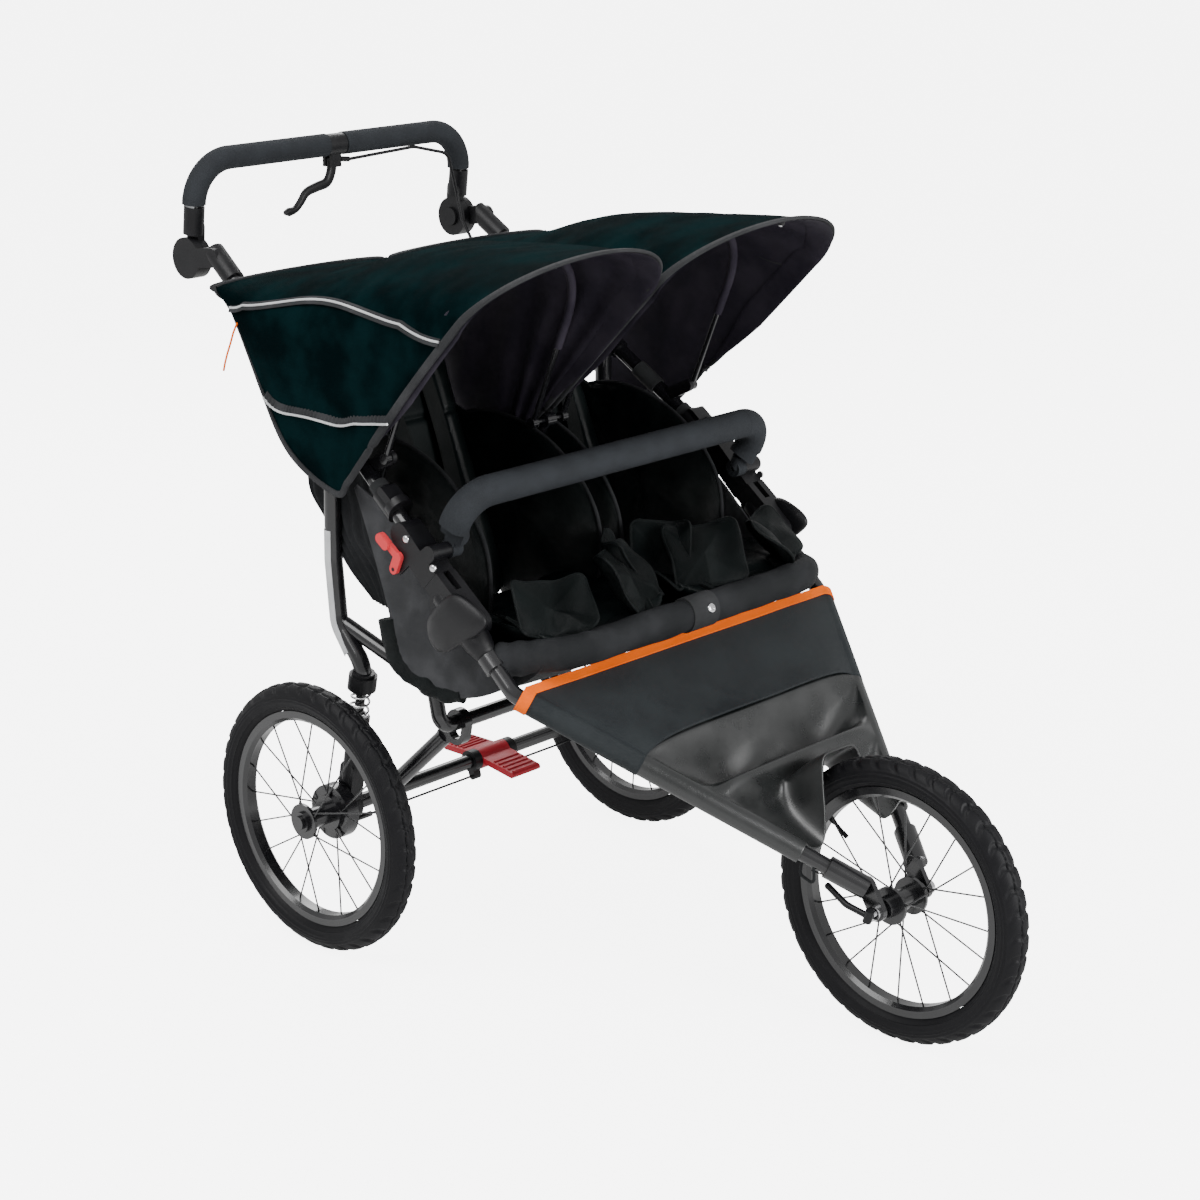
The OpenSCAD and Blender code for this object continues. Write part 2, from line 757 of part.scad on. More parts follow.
// bowed bar under the front edge of the seats, clamped to the lower tubes
front_ring = lower_bend + (lower_head - lower_bend) * 0.44;
front_bar_d = 20;

module front_bar_shape(d) {
    end = [side_x - 17, front_ring[1], front_ring[2]];
    knee = [250, -422, 520];
    bent_tube([flip(end), flip(knee), knee, end], d, 60);
}

module seat_front_bar() {
    lean = unit(lower_head - lower_bend);
    color(black) placed() difference() {
        union() {
            front_bar_shape(front_bar_d);
            both() rod(front_ring - lean * 11, front_ring + lean * 11, tube_d + 9);
        }
        both() rod(lower_bend, lower_head, tube_d);
    }
}

// sleeve on the lower tube and tapered blade to the dropout
dropout_x = 46;
dropout_t = 8;

module fork_ends() {
    sleeve_d = tube_d + 9;
    color(satin) placed() both() difference() {
        union() {
            rod(lower_foot - lower_axis * 52, lower_foot + lower_axis * 6, sleeve_d);
            plate(dropout_x, dropout_x + dropout_t) stadium([-766, 230], [-wheelbase, hub_z], 13);
        }
        rod(lower_foot - lower_axis * 53, lower_foot, tube_d);
        cross_rod(0, 100, [-wheelbase, hub_z], skewer_d);
        cross_rod(0, dropout_x, [-wheelbase, hub_z], 60);
        cross_rod(dropout_x + dropout_t, 100, [-wheelbase, hub_z], 22);
    }
}

// through axle with its nut and the seat of the cam lever
cam_x = dropout_x + dropout_t;

module skewer() {
    color(chrome) placed() {
        cross_rod(-cam_x - 9, cam_x + 9, [-wheelbase, hub_z], skewer_d);
        difference() {
            cross_rod(cam_x, cam_x + 10, [-wheelbase, hub_z], 20);
            cross_rod(cam_x - 1, cam_x + 9, [-wheelbase, hub_z], skewer_d);
        }
        difference() {
            cross_rod(-cam_x - 6, -cam_x, [-wheelbase, hub_z], 20);
            cross_rod(-cam_x - 7, -cam_x + 1, [-wheelbase, hub_z], skewer_d);
        }
    }
}

// lever on the right end of the skewer; its cam turns about a sloping pin, and the lever flips outwards
cam_r = 6;
cam_axis = [0, -0.28, 0.96];

module quick_release() {
    p = [-cam_x - 9 - cam_r - clear, -wheelbase, hub_z];
    tip = p + [1, 68, 22];
    color(satin) placed() {
        rod(p - cam_axis * 9, p + cam_axis * 9, 2 * cam_r);
        bent_tube([p, p + [-1, 36, 6], tip], 9, 40);
        translate(tip) sphere(d = 9.6);
    }
}

// wire loop by the wheel arch that holds the folded frame
module fold_loop() {
    foot = on_lower(-704);
    color(black) placed() mirror([1, 0, 0]) difference() {
        bent_tube([foot + [0, 6, 0], foot + [0, 10, -30], foot + [0, -14, -38], foot + [0, -12, -6]], 4, 6);
        rod(lower_bend, lower_foot, tube_d);
    }
}

// footrest and mudguard: a moulded shell between the tubes, with two wells and an arch over the wheel
guard_rear = -520;
guard_front = -690;
guard_reach = 46;
guard_rows = 16;
guard_cols = 20;
guard_wall = 4;
wheel_gap = 15;
wrap_steps = 4;
function bump(x, w) = abs(x) > w ? 0 : pow(cos(90 * x / w), 2);
function arch_z(y) = hub_z + sqrt(pow(wheel_r + wheel_gap, 2) - pow(y + wheelbase, 2));
// directions square to the left lower tube, outwards and upwards
lower_out = unit(cross([0, 0, 1], lower_axis));
lower_up = unit(cross(lower_axis, lower_out));
function lower_top(y, r) = on_lower(y) + r * lower_up;
// points round the left or right lower tube, from its underside outside to its top
function tube_side(y, r, s, low, steps) =
    [for (k = [0 : steps]) let (a = low + (90 - low) * k / steps,
        p = on_lower(y) + r * cos(a) * lower_out + r * sin(a) * lower_up) [s * p[0], p[1], p[2]]];
function guard_point(y, f, r) = let (
        c = lower_top(y, r), t = (guard_rear - y) / (guard_rear - guard_front),
        yy = c[1] - guard_reach * t * t * (1 - f * f),
        well = 30 * bump(abs(f) - 0.5, 0.42) * bump(t - 0.3, 0.42) * (1 - bump(f, 0.5)),
        hump = max(0, arch_z(yy) + 4 - c[2]) * bump(f, 0.95 - 0.3 * t))
    [f * c[0], yy, c[2] + 18 * (1 - t) * (1 - pow(f, 8)) - well + hump];
function guard_row(y, r) = let (
        right = tube_side(y, r, -1, -50, wrap_steps), left = tube_side(y, r, 1, -50, wrap_steps))
    concat(right, [for (j = [1 : guard_cols - 1]) guard_point(y, 2 * j / guard_cols - 1, r)],
           [for (k = [wrap_steps : -1 : 0]) left[k]]);
function guard_grid(r) = [for (i = [0 : guard_rows - 1])
    guard_row(guard_rear + (guard_front - guard_rear) * i / (guard_rows - 1), r)];

module footrest() { color(satin) placed() sheet(guard_grid(panel_r + guard_wall), guard_grid(panel_r)); }

// cloth panel stretched over the lower tubes; each edge wraps round its tube
panel_rows = 5;
panel_rear = -394;
panel_low = -505;
panel_wrap = 6;
function panel_row(y, r) = let (
        right = tube_side(y, r, -1, -60, panel_wrap), left = tube_side(y, r, 1, -60, panel_wrap))
    concat(right, [for (k = [panel_wrap : -1 : 0]) left[k]]);
function panel_grid(y0, y1, r) = [for (i = [0 : panel_rows - 1])
    panel_row(y0 + (y1 - y0) * i / (panel_rows - 1), r)];
panel_r = tube_d / 2 + clear + elbow_swell;

module front_panel() {
    color(cloth) placed() sheet(panel_grid(panel_rear, panel_low, panel_r + 2.5),
                                panel_grid(panel_rear, panel_low, panel_r));
}

module panel_trim() {
    color(orange) placed() sheet(panel_grid(panel_rear + 2, panel_rear - 9, panel_r + 4),
                                 panel_grid(panel_rear + 2, panel_rear - 9, panel_r + 2.5));
}

// Seats

// a cushion: crowned, with sides drawn in between the corners, and raised rims along both long edges
pad_rows = 11;
pad_cols = 15;
function squash(t) = sign(t) * pow(abs(t), 0.75);
function cushion(w, l, t, rim) = [for (side = [1, 0]) [for (i = [0 : pad_rows - 1])
    [for (j = [0 : pad_cols - 1])
    let (u = squash(1 - 2 * i / (pad_rows - 1)), v = squash(2 * j / (pad_cols - 1) - 1),
         edge = (1 - pow(u, 6)) * (1 - pow(v, 6)), draw = 6 * (1 - u * u) * pow(v, 2),
         channel = 3 * bump(v, 0.12) + 3 * bump(u - 0.1, 0.12))
    [v * (w / 2 - draw), u * l / 2,
     rim * pow(abs(v), 5)
         + (side == 1 ? t / 2 * (0.25 + 0.75 * edge) - channel * edge : -t / 2 * (0.25 + 0.75 * edge))]]]];

module cushion_solid(w, l, t, rim) {
    grids = cushion(w, l, t, rim);
    sheet(grids[0], grids[1]);
}

seat_x = seat_gap / 2 + pad_w / 2;
pad_len = 262;
pad_mid = [-274, 514.8];
pad_tilt = -4;

module seat_pad(side) {
    color(cloth) placed() translate([side * seat_x, pad_mid[0], pad_mid[1]]) rotate([pad_tilt, 0, 0])
        cushion_solid(pad_w, pad_len, pad_t, 34);
}
module seat_pad_left() { seat_pad(1); }
module seat_pad_right() { seat_pad(-1); }

// cloth tub under both pads, with a sagging belly
module seat_base() {
    half = seat_gap / 2 + pad_w + 4;
    color(cloth) placed() difference() {
        plate(-half, half) polygon([[-414, 497], [-414, 509], [-150, 490], [-146, 472],
            [-168, 442], [-230, 430], [-300, 444], [-372, 470]]);
        front_bar_shape(front_bar_d + 2 * clear);
    }
}

back_x = seat_gap / 2 + back_w / 2;

wing_lift = back_t / 2 - 1;
wing_t = 14;

// side wings of a seat liner, standing on the face of the backrest
module wing() {
    translate([0, 0, wing_lift]) rotate([90, 0, 90]) linear_extrude(wing_t)
        polygon([[72, 0], [66, 18], [66, 34], [80, 49], [100, 63], [118, 78], [132, 91], [150, 96], [200, 92],
                 [238, 85], [265, 76], [284, 58], [292, 34], [288, 10], [282, 0]]);
}

// pad of a backrest with the tunnel for its hinge rod
module backrest(side) {
    tunnel_d = back_rod_d + 8;
    color(cloth) placed() translate([side * back_x, back_rod[0], back_rod[1]]) rotate([back_slope, 0, 0]) {
        translate([0, back_len / 2 + tunnel_d / 2 + clear, 4]) cushion_solid(back_w, back_len, back_t, 0);
        rotate([0, 90, 0]) difference() {
            cylinder(d = tunnel_d, h = back_w - 40, center = true);
            cylinder(d = back_rod_d + 2 * clear, h = back_w, center = true);
        }
        for (x = [6 - back_w / 2, back_w / 2 - 6 - wing_t]) translate([x, 0, 0]) wing();
    }
}
module backrest_left() { backrest(1); }
module backrest_right() { backrest(-1); }

// cloth sides between the frame tubes and the seat tub
module side_panels() {
    color(cloth) placed() both() plate(side_x - 19.4, side_x - 17.4)
        polygon([[-92, 694], [-60, 690], [-96, 600], [-128, 516], [-136, 468], [-171, 438], [-230, 430],
                 [-300, 444], [-362, 472], [-330, 500], [-296, 534], [-266, 534], [-240, 590], [-190, 628]]);
}

// Handle

module handle_hinges() {
    color(black) placed() both() difference() {
        union() {
            cross_rod(hinge_x, hinge_x + hinge_t, [hinge_back, hinge_z], hinge_d);
            plate(hinge_x, hinge_x + hinge_t)
                stadium([hinge_back, hinge_z], [tube_head[1], tube_head[2]], 14);
            rod(tube_head - tube_axis * 50, tube_head + tube_axis * 12, tube_d + 8);
        }
        rod(tube_head - tube_axis * 51, tube_head, tube_d);
        cross_rod(hinge_x - 40, hinge_x, [hinge_back, hinge_z], hinge_d + 60);
    }
}

// inner discs with the sockets of the handle tube and bores for the buttons
module handle_knuckles() {
    x0 = hinge_x - clear - hinge_t;
    color(black) placed() both() difference() {
        union() {
            cross_rod(x0, hinge_x - clear, [hinge_back, hinge_z], hinge_d);
            plate(x0, hinge_x - clear) stadium([hinge_back, hinge_z], [hinge_back - 4, hinge_z + 44], 13);
            rod([hinge_x - 2, hinge_back - 3, hinge_z + hinge_d / 2 + 4],
                [hinge_x - 2, hinge_back - 8, hinge_z + hinge_d / 2 + 44], tube_d + 8);
        }
        handle_path();
        cross_rod(x0 - 1, x0 + button_travel + 4, [hinge_back, hinge_z], button_d + 2 * clear);
    }
}

handle_foot = [hinge_x - 2, hinge_back - 4, hinge_z + hinge_d / 2 + 14];
handle_corner = [hinge_x - 3, grip_y, handle_z];

module handle_path() {
    bent_tube([[-handle_foot[0], handle_foot[1], handle_foot[2]],
               [-handle_corner[0], handle_corner[1], handle_corner[2]],
               handle_corner, handle_foot], tube_d, 62);
}

module handle_tube() { color(black) placed() handle_path(); }

// two foam sleeves that leave the middle free for the lever's clamp
foam_gap = 17;

module handle_foam() {
    climb = (foam_low_z - handle_foot[2]) / (handle_corner[2] - handle_foot[2]);
    low = handle_foot + (handle_corner - handle_foot) * climb;
    color(foam_grey) placed() both() difference() {
        bent_tube([[foam_gap, handle_corner[1], handle_corner[2]], handle_corner, low], foam_d, 62);
        handle_path();
    }
}

lever_p = [0, grip_y + 4, handle_z - 24.5];

module lever_clamp() {
    color(black) placed() difference() {
        union() {
            cross_rod(-foam_gap + 1, foam_gap - 1, [grip_y, handle_z], tube_d + 10);
            translate([-9, lever_p[1] - 11, lever_p[2] - 9]) cube([18, 6, 22]);
            translate([-9, lever_p[1] + 5, lever_p[2] - 9]) cube([18, 6, 22]);
            translate([0, lever_p[1] + 11, lever_p[2]]) rotate([90, 0, 0]) cylinder(d = 6, h = 22);
            rod([9, lever_p[1] - 8, lever_p[2] + 2], [26, lever_p[1] - 8, lever_p[2]], 8);
        }
        cross_rod(-foam_gap, foam_gap, [grip_y, handle_z], tube_d);
    }
}

// lever blade that curls down to the right
module brake_lever() {
    color(black) placed() difference() {
        union() {
            translate([0, lever_p[1] + 4.6, lever_p[2]]) rotate([90, 0, 0]) cylinder(d = 15, h = 9.2);
            bent_tube([lever_p + [0, 0, -3], lever_p + [-10, 0, -30], lever_p + [-52, 0, -40],
                       lever_p + [-72, 0, -66], lever_p + [-92, 0, -68]], 8, 12);
        }
        translate([0, lever_p[1] + 20, lever_p[2]]) rotate([90, 0, 0]) cylinder(d = 6 + 2 * fit_gap, h = 40);
    }
}

module hinge_button() {
    x0 = hinge_x - clear - hinge_t;
    color(black) placed() cross_rod(x0 - button_travel, x0 + 3.6, [hinge_back, hinge_z], button_d);
}
module hinge_button_left() { hinge_button(); }
module hinge_button_right() { mirror([1, 0, 0]) hinge_button(); }

// brake cable along the handle's underside and down the left upright to the frame
cable_d = 5;

module brake_cable() {
    color(black) placed() bent_tube([[26.5, lever_p[1] - 8, lever_p[2]], [150, grip_y - 14, handle_z - 17],
        [222, grip_y - 14, handle_z - 34], [238, grip_y - 16, handle_z - 100],
        [238, hinge_back - 38, hinge_z + 2],
        [240, hinge_back - 62, hinge_z - 36], [246, hinge_back - 96, hinge_z - 52]], cable_d, 22);
}

// Bumper bar

module bumper_bar() {
    knee = [bumper_x, -282, bumper_z];
    foot = [side_x - 24, bumper_pivot[0] - 6, bumper_pivot[1] + 18];
    x1 = side_x - joint_w / 2 - clear;
    color(foam_grey) placed() difference() {
        union() {
            bent_tube([[-foot[0], foot[1], foot[2]], [-knee[0], knee[1], knee[2]], knee, foot], bumper_d, 44);
            both() cross_rod(x1 - 18, x1, bumper_pivot, 25);
            both() rod(foot, [x1 - 9, bumper_pivot[0], bumper_pivot[1]], 24);
        }
        both() cross_rod(x1 - 40, x1 + 60, bumper_pivot, bumper_pin_d + 2 * fit_gap);
        both() plate(x1, x1 + 80) translate(bumper_pivot) circle(40);
    }
}

// Hoods

// plates that stand on the upper tubes and carry the outer hood pivots
module hood_brackets() {
    foot = on_upper(hood_pivot[0] + 36);
    inner = bow_out - eye_half - clear - 7;
    color(black) placed() both() difference() {
        union() {
            plate(inner, inner + 7) stadium([foot[1], foot[2] + tube_d / 2], hood_pivot, 9);
            cross_rod(inner, bow_out + eye_half, hood_pivot, hood_pin_d);
        }
        upper_tube_cut();
    }
}
module upper_tube_cut() { rod(tube_foot, tube_head, tube_d); }

module hood_bow(side) {
    reach = hood_top - hood_pivot[1] + 4.5;
    turn = 113;
    tip = hood_pivot + reach * [cos(turn), sin(turn)];
    color(black) placed() mirror([side < 0 ? 1 : 0, 0, 0]) difference() {
        union() {
            bent_tube([[bow_in, hood_pivot[0], hood_pivot[1]], [bow_in, tip[0], tip[1]],
                       [bow_out, tip[0], tip[1]],
                       [bow_out, hood_pivot[0], hood_pivot[1]]], bow_d, 126);
            for (x = [bow_in, bow_out]) cross_rod(x - eye_half, x + eye_half, hood_pivot, 15);
        }
        cross_rod(0, hood_out, hood_pivot, hood_pin_d + 2 * fit_gap);
    }
}
module hood_bow_left() { hood_bow(1); }
module hood_bow_right() { hood_bow(-1); }

// hood cloth: arches across the seat, from the rear edge (s = 0) to the front edge (s = 1)
hood_rows = 13;
hood_cols = 15;
hood_rear_y = 199;
hood_nose_y = -420;
hood_crown = [[hood_rear_y, hood_top - 96], [44, hood_top - 64], [-110, hood_top - 22], [-265, hood_top - 8],
              [hood_nose_y, hood_top]];
hood_hem = [[177, 925], [110, 800], [47, 719], [-51, 680], [-82, 702], [-112, 733], [-143, 766]];
// share of an arch that is round, and height of its straight sides as a share of the whole
hood_round = 0.6;
hood_straight = 0.72;
// how far the outer wall draws in at its hem, as a share of the half width
hood_tuck = 0.12;
function along(list, s) = let (k = s * (len(list) - 1), i = min(floor(k), len(list) - 2))
    list[i] + (list[i + 1] - list[i]) * (k - i);
function hood_point(s, w, wall) = let (
        hem = along(hood_hem, s), top = along(hood_crown, s) - [0, wall],
        half = (hood_out + (hood_flare - hood_out) * s - hood_in) / 2 - wall,
        turn = 90 * min(abs(w) / hood_round, 1), drop = max(0, (abs(w) - hood_round) / (1 - hood_round)),
        reach = sign(w) * sin(turn) - (w > 0 ? hood_tuck * drop * drop : 0),
        rise = (1 - drop) * (hood_straight + (1 - hood_straight) * cos(turn)), p = hem + (top - hem) * rise)
    [hood_in + wall + half * (1 + reach), p[0], p[1]];
function hood_grid(wall) = [for (i = [0 : hood_rows - 1]) [for (j = [0 : hood_cols - 1])
    hood_point(i / (hood_rows - 1), 2 * j / (hood_cols - 1) - 1, wall)]];

module hood_left() { color(hood_cloth) placed() sheet(hood_grid(0), hood_grid(hood_wall)); }
module hood_right() { mirror([1, 0, 0]) hood_left(); }

// cord that hangs from the rear edge of the right hood
pull_points = [[-327, 141, 893], [-329, 148, 878], [-330, 154, 862], [-331, 160, 848], [-331, 166, 834],
               [-331, 170, 822]];

module hood_pull() { color(orange) placed() loft(wire_rings(pull_points, 1.5, 8)); }

upper_tubes();
fold_brackets();
rear_legs();
spring_collars();
strut_springs();
under_seat_bar();
centre_post();
back_hinge_rod();
handle_hinges();
hood_brackets();
side_panels();
hood_pull();
lower_tubes();
fold_covers();
fold_pins();
seat_front_bar();
fork_ends();
footrest();
front_panel();
panel_trim();
seat_base();
seat_pad_left();
seat_pad_right();
skewer();
fold_loop();
quick_release();
front_tyre();
front_rim();
front_hub();
left_tyre();
left_rim();
left_hub();
right_tyre();
right_rim();
right_hub();
axle_tube();
uprights();
brake_plates();
swing_arms();
pedal_clamps();
brake_rod();
brake_pedal();
handle_tube();
handle_foam();
handle_knuckles();
lever_clamp();
brake_lever();
hinge_button_left();
hinge_button_right();
brake_cable();
fold_catch_left();
fold_catch_right();
safety_catch();
bumper_bar();
hood_left();
hood_right();
hood_bow_left();
hood_bow_right();
backrest_left();
backrest_right();
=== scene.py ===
"""Looks of a side-by-side, two-seat jogging stroller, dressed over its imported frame."""

import json
import logging
import math
from dataclasses import dataclass
from enum import Enum
from typing import Callable, Optional, Sequence, Union

import bpy
import numpy as np
from mathutils import Matrix

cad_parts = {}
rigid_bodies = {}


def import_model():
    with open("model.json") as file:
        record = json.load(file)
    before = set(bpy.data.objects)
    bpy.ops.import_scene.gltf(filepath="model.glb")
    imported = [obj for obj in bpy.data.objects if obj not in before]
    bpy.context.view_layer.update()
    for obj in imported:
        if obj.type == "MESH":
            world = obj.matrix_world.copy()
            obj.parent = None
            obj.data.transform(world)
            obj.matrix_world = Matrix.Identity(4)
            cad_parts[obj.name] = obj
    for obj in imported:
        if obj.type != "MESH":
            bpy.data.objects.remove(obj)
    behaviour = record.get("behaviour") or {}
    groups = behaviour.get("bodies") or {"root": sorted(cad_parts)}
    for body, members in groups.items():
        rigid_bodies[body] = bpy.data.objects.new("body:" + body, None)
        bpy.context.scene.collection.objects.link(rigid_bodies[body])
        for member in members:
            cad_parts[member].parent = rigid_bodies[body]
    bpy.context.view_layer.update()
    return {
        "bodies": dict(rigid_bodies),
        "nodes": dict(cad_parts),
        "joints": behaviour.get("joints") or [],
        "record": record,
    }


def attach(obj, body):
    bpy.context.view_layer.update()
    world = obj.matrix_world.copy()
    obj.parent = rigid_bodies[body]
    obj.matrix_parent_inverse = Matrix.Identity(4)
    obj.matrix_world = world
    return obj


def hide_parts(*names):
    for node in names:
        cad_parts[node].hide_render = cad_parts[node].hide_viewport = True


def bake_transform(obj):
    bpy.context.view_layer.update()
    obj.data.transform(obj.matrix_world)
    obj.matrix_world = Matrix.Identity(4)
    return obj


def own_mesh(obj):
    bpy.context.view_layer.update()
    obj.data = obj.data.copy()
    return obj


LOG = logging.getLogger("stroller")
Array = np.ndarray
Colour = tuple[float, float, float]
# Pieces are drawn in mm from the floor below the middle of the rear axle, and moved into the part's frame in metres.
AXLE = np.array((0.0, 0.318, 0.0))
MM = 0.001
HUB = 198.5  # height of the wheels' axles in mm
TURN = 2 * math.pi
SEED = 11
SIDES = ((1.0, "left"), (-1.0, "right"))
# The pads' cloth simulation: size of a face in mm, pressure of the air and number of frames.
VOXEL = 5.0
AIR = 4.0
FRAMES = 20


# Shader graph


class Wire:
    """One shader output that can be used in arithmetic."""

    def __init__(self, graph: "Graph", socket: bpy.types.NodeSocket) -> None:
        """Keep the socket and the graph that it belongs to."""
        self.graph = graph
        self.socket = socket

    def _math(self, operation: str, *values: Union["Wire", float]) -> "Wire":
        """Add a maths node fed by the given values."""
        node = self.graph.node("ShaderNodeMath", {"operation": operation}, dict(enumerate(values)))
        return Wire(self.graph, node.outputs[0])

    def __add__(self, other: Union["Wire", float]) -> "Wire":
        """Sum."""
        return self._math("ADD", self, other)

    def __mul__(self, other: Union["Wire", float]) -> "Wire":
        """Product."""
        return self._math("MULTIPLY", self, other)

    def sine(self) -> "Wire":
        """Sine, in radians."""
        return self._math("SINE", self)

    def size(self) -> "Wire":
        """Absolute value."""
        return self._math("ABSOLUTE", self)

    def between(self, low: float, high: float) -> "Wire":
        """Smooth step from 0 at low to 1 at high.

        Args:
            low: Value where the step starts.
            high: Value where it ends.

        Returns:
            The step.
        """
        settings = {"interpolation_type": "SMOOTHSTEP"}
        node = self.graph.node("ShaderNodeMapRange", settings, {0: self, 1: low, 2: high})
        return Wire(self.graph, node.outputs[0])


class Graph:
    """A material's node tree."""

    def __init__(self, name: str) -> None:
        """Start an empty material."""
        self.material = bpy.data.materials.new(name)
        self.material.use_nodes = True
        self.tree = self.material.node_tree
        self.tree.nodes.clear()

    def node(self, kind: str, settings: Optional[dict] = None, inputs: Optional[dict] = None) -> bpy.types.Node:
        """Add one node.

        Args:
            kind: The node's type.
            settings: Its properties.
            inputs: Values or wires by socket name or number.

        Returns:
            The node.
        """
        made = self.tree.nodes.new(kind)
        for key, value in (settings or {}).items():
            setattr(made, key, value)
        for key, value in (inputs or {}).items():
            if isinstance(value, Wire):
                self.tree.links.new(value.socket, made.inputs[key])
            else:
                made.inputs[key].default_value = value
        return made

    def out(self, kind: str, output: Union[str, int] = 0, settings: Optional[dict] = None,
            inputs: Optional[dict] = None) -> Wire:
        """Add one node and take one of its outputs."""
        return Wire(self, self.node(kind, settings, inputs).outputs[output])

    def place(self) -> Wire:
        """Object coordinates, in metres."""
        return self.out("ShaderNodeTexCoord", "Object")

    def noise(self, scale: float, detail: float = 3.0) -> Wire:
        """Noise over the object's own space."""
        return self.out("ShaderNodeTexNoise", "Fac", None,
                        {"Vector": self.place(), "Scale": scale, "Detail": detail})

    def cells(self, scale: float) -> Wire:
        """Distance to the nearest of scattered points."""
        return self.out("ShaderNodeTexVoronoi", "Distance", None, {"Vector": self.place(), "Scale": scale})

    def thread(self) -> tuple[Wire, Wire]:
        """The cloth's own directions, in metres along and across.

        Returns:
            The place along the cloth and the place across it.
        """
        uv = self.out("ShaderNodeUVMap", "UV", {"uv_map": "cloth"})
        split = self.node("ShaderNodeSeparateXYZ", None, {0: uv})
        return Wire(self, split.outputs[0]), Wire(self, split.outputs[1])

    def mix(self, amount: Wire, first: Colour, second: Colour) -> Wire:
        """Colour between two colours."""
        return self.out("ShaderNodeMix", 2, {"data_type": "RGBA"},
                        {0: amount, 6: (*first, 1.0), 7: (*second, 1.0)})

    def relief(self, height: Wire, depth: float) -> Wire:
        """Normal of a surface with that height map, depth in metres."""
        return self.out("ShaderNodeBump", 0, None, {"Height": height, "Distance": depth, "Strength": 1.0})

    def close(self, inputs: dict) -> bpy.types.Material:
        """Finish the material with a principled surface.

        Args:
            inputs: Values or wires by socket name.

        Returns:
            The material.
        """
        body = self.node("ShaderNodeBsdfPrincipled", None, inputs)
        self.node("ShaderNodeOutputMaterial", None, {0: Wire(self, body.outputs[0])})
        return self.material


class Grain(Enum):
    """Kinds of surface, each with the depth of its relief in metres."""

    PAINT = 0.00006
    MOULDED = 0.00009
    FOAM = 0.0005
    RUBBER = 0.0002
    WOVEN = 0.00022
    RIBBED = 0.0003
    METAL = 0.00003
    BEADED = 0.0001
    PLAIN = 0.00005


@dataclass(frozen=True)
class Finish:
    """One finish: two colours that a soft mottling mixes, and the kind of surface.

    rough is the mean roughness, mottle is the scale of the mottling, pitch is the spacing of threads in metres, and
    coat, shine and glow are the clear coat, the reflection and light that the surface gives off: glow is a painted
    glow on the orange tape and the even brightness of the floor.
    """

    name: str
    grain: Grain
    dark: Colour
    light: Colour
    rough: float = 0.5
    mottle: float = 18.0
    pitch: float = 0.0012
    coat: float = 0.0
    shine: float = 0.5
    glow: float = 0.0

    def weave(self, graph: Graph) -> Wire:
        """Height of crossing threads, from the cloth's own directions.

        Args:
            graph: Graph of the material.

        Returns:
            The height, from -1 to 1.
        """
        along, across = graph.thread()
        step = TURN / self.pitch
        return (along * step).sine() * 0.5 + (across * step).sine() * 0.5

    def ribs(self, graph: Graph) -> Wire:
        """Height of slanting ribs that change direction in the middle of each repeat.

        Args:
            graph: Graph of the material.

        Returns:
            The height, from -1 to 1.
        """
        along, across = graph.thread()
        step = TURN / self.pitch
        slant = (across * (step / 3)).sine().size()
        return (along * step + slant * 4.0).sine()

    def height(self, graph: Graph, fine: Wire) -> Wire:
        """Height map of the kind of surface, with the fine grain where it shows.

        Args:
            graph: Graph of the material.
            fine: Its fine grain.

        Returns:
            The height.
        """
        if self.grain is Grain.WOVEN:
            return self.weave(graph) + fine * 1.5
        if self.grain is Grain.RIBBED:
            return self.ribs(graph) + fine
        if self.grain is Grain.MOULDED:
            return graph.cells(1500.0) + fine
        if self.grain is Grain.FOAM:
            return graph.noise(1300.0, 5.0) + graph.cells(700.0)
        if self.grain is Grain.BEADED:
            return graph.cells(1100.0)
        if self.grain is Grain.PLAIN:
            return fine
        scale, detail = {Grain.PAINT: (420.0, 3.0), Grain.RUBBER: (900.0, 4.0), Grain.METAL: (700.0, 3.0)}[self.grain]
        return graph.noise(scale, detail)

    def material(self) -> bpy.types.Material:
        """Build the material, once.

        Returns:
            The material.
        """
        found = bpy.data.materials.get(self.name)
        if found:
            return found
        graph = Graph(self.name)
        patch = graph.noise(self.mottle).between(0.35, 0.68)
        fine = graph.noise(self.mottle * 40)
        swing = 0.10 if self.grain in (Grain.PAINT, Grain.METAL) else 0.22
        inputs = {
            "Base Color": graph.mix(patch * 0.75 + fine * 0.25, self.dark, self.light),
            "Roughness": (patch * 0.6 + fine * 0.4) * swing + (self.rough - swing / 2),
            "Metallic": 1.0 if self.grain is Grain.METAL else 0.0,
            "Normal": graph.relief(self.height(graph, fine), self.grain.value),
            "Specular IOR Level": self.shine,
            "Coat Weight": self.coat,
            "Coat Roughness": 0.12,
        }
        # Emission: a painted glow on the orange tape, trim and cord; on the floor it keeps the backdrop evenly bright.
        if self.glow:
            inputs["Emission Color"] = (*self.light, 1.0)
            inputs["Emission Strength"] = self.glow
        if self.grain is Grain.PLAIN:
            seen = graph.out("ShaderNodeLightPath", "Is Camera Ray")
            inputs["Emission Color"] = graph.mix(seen, (0.05, 0.05, 0.05), (1.0, 1.0, 1.0))
        return graph.close(inputs)


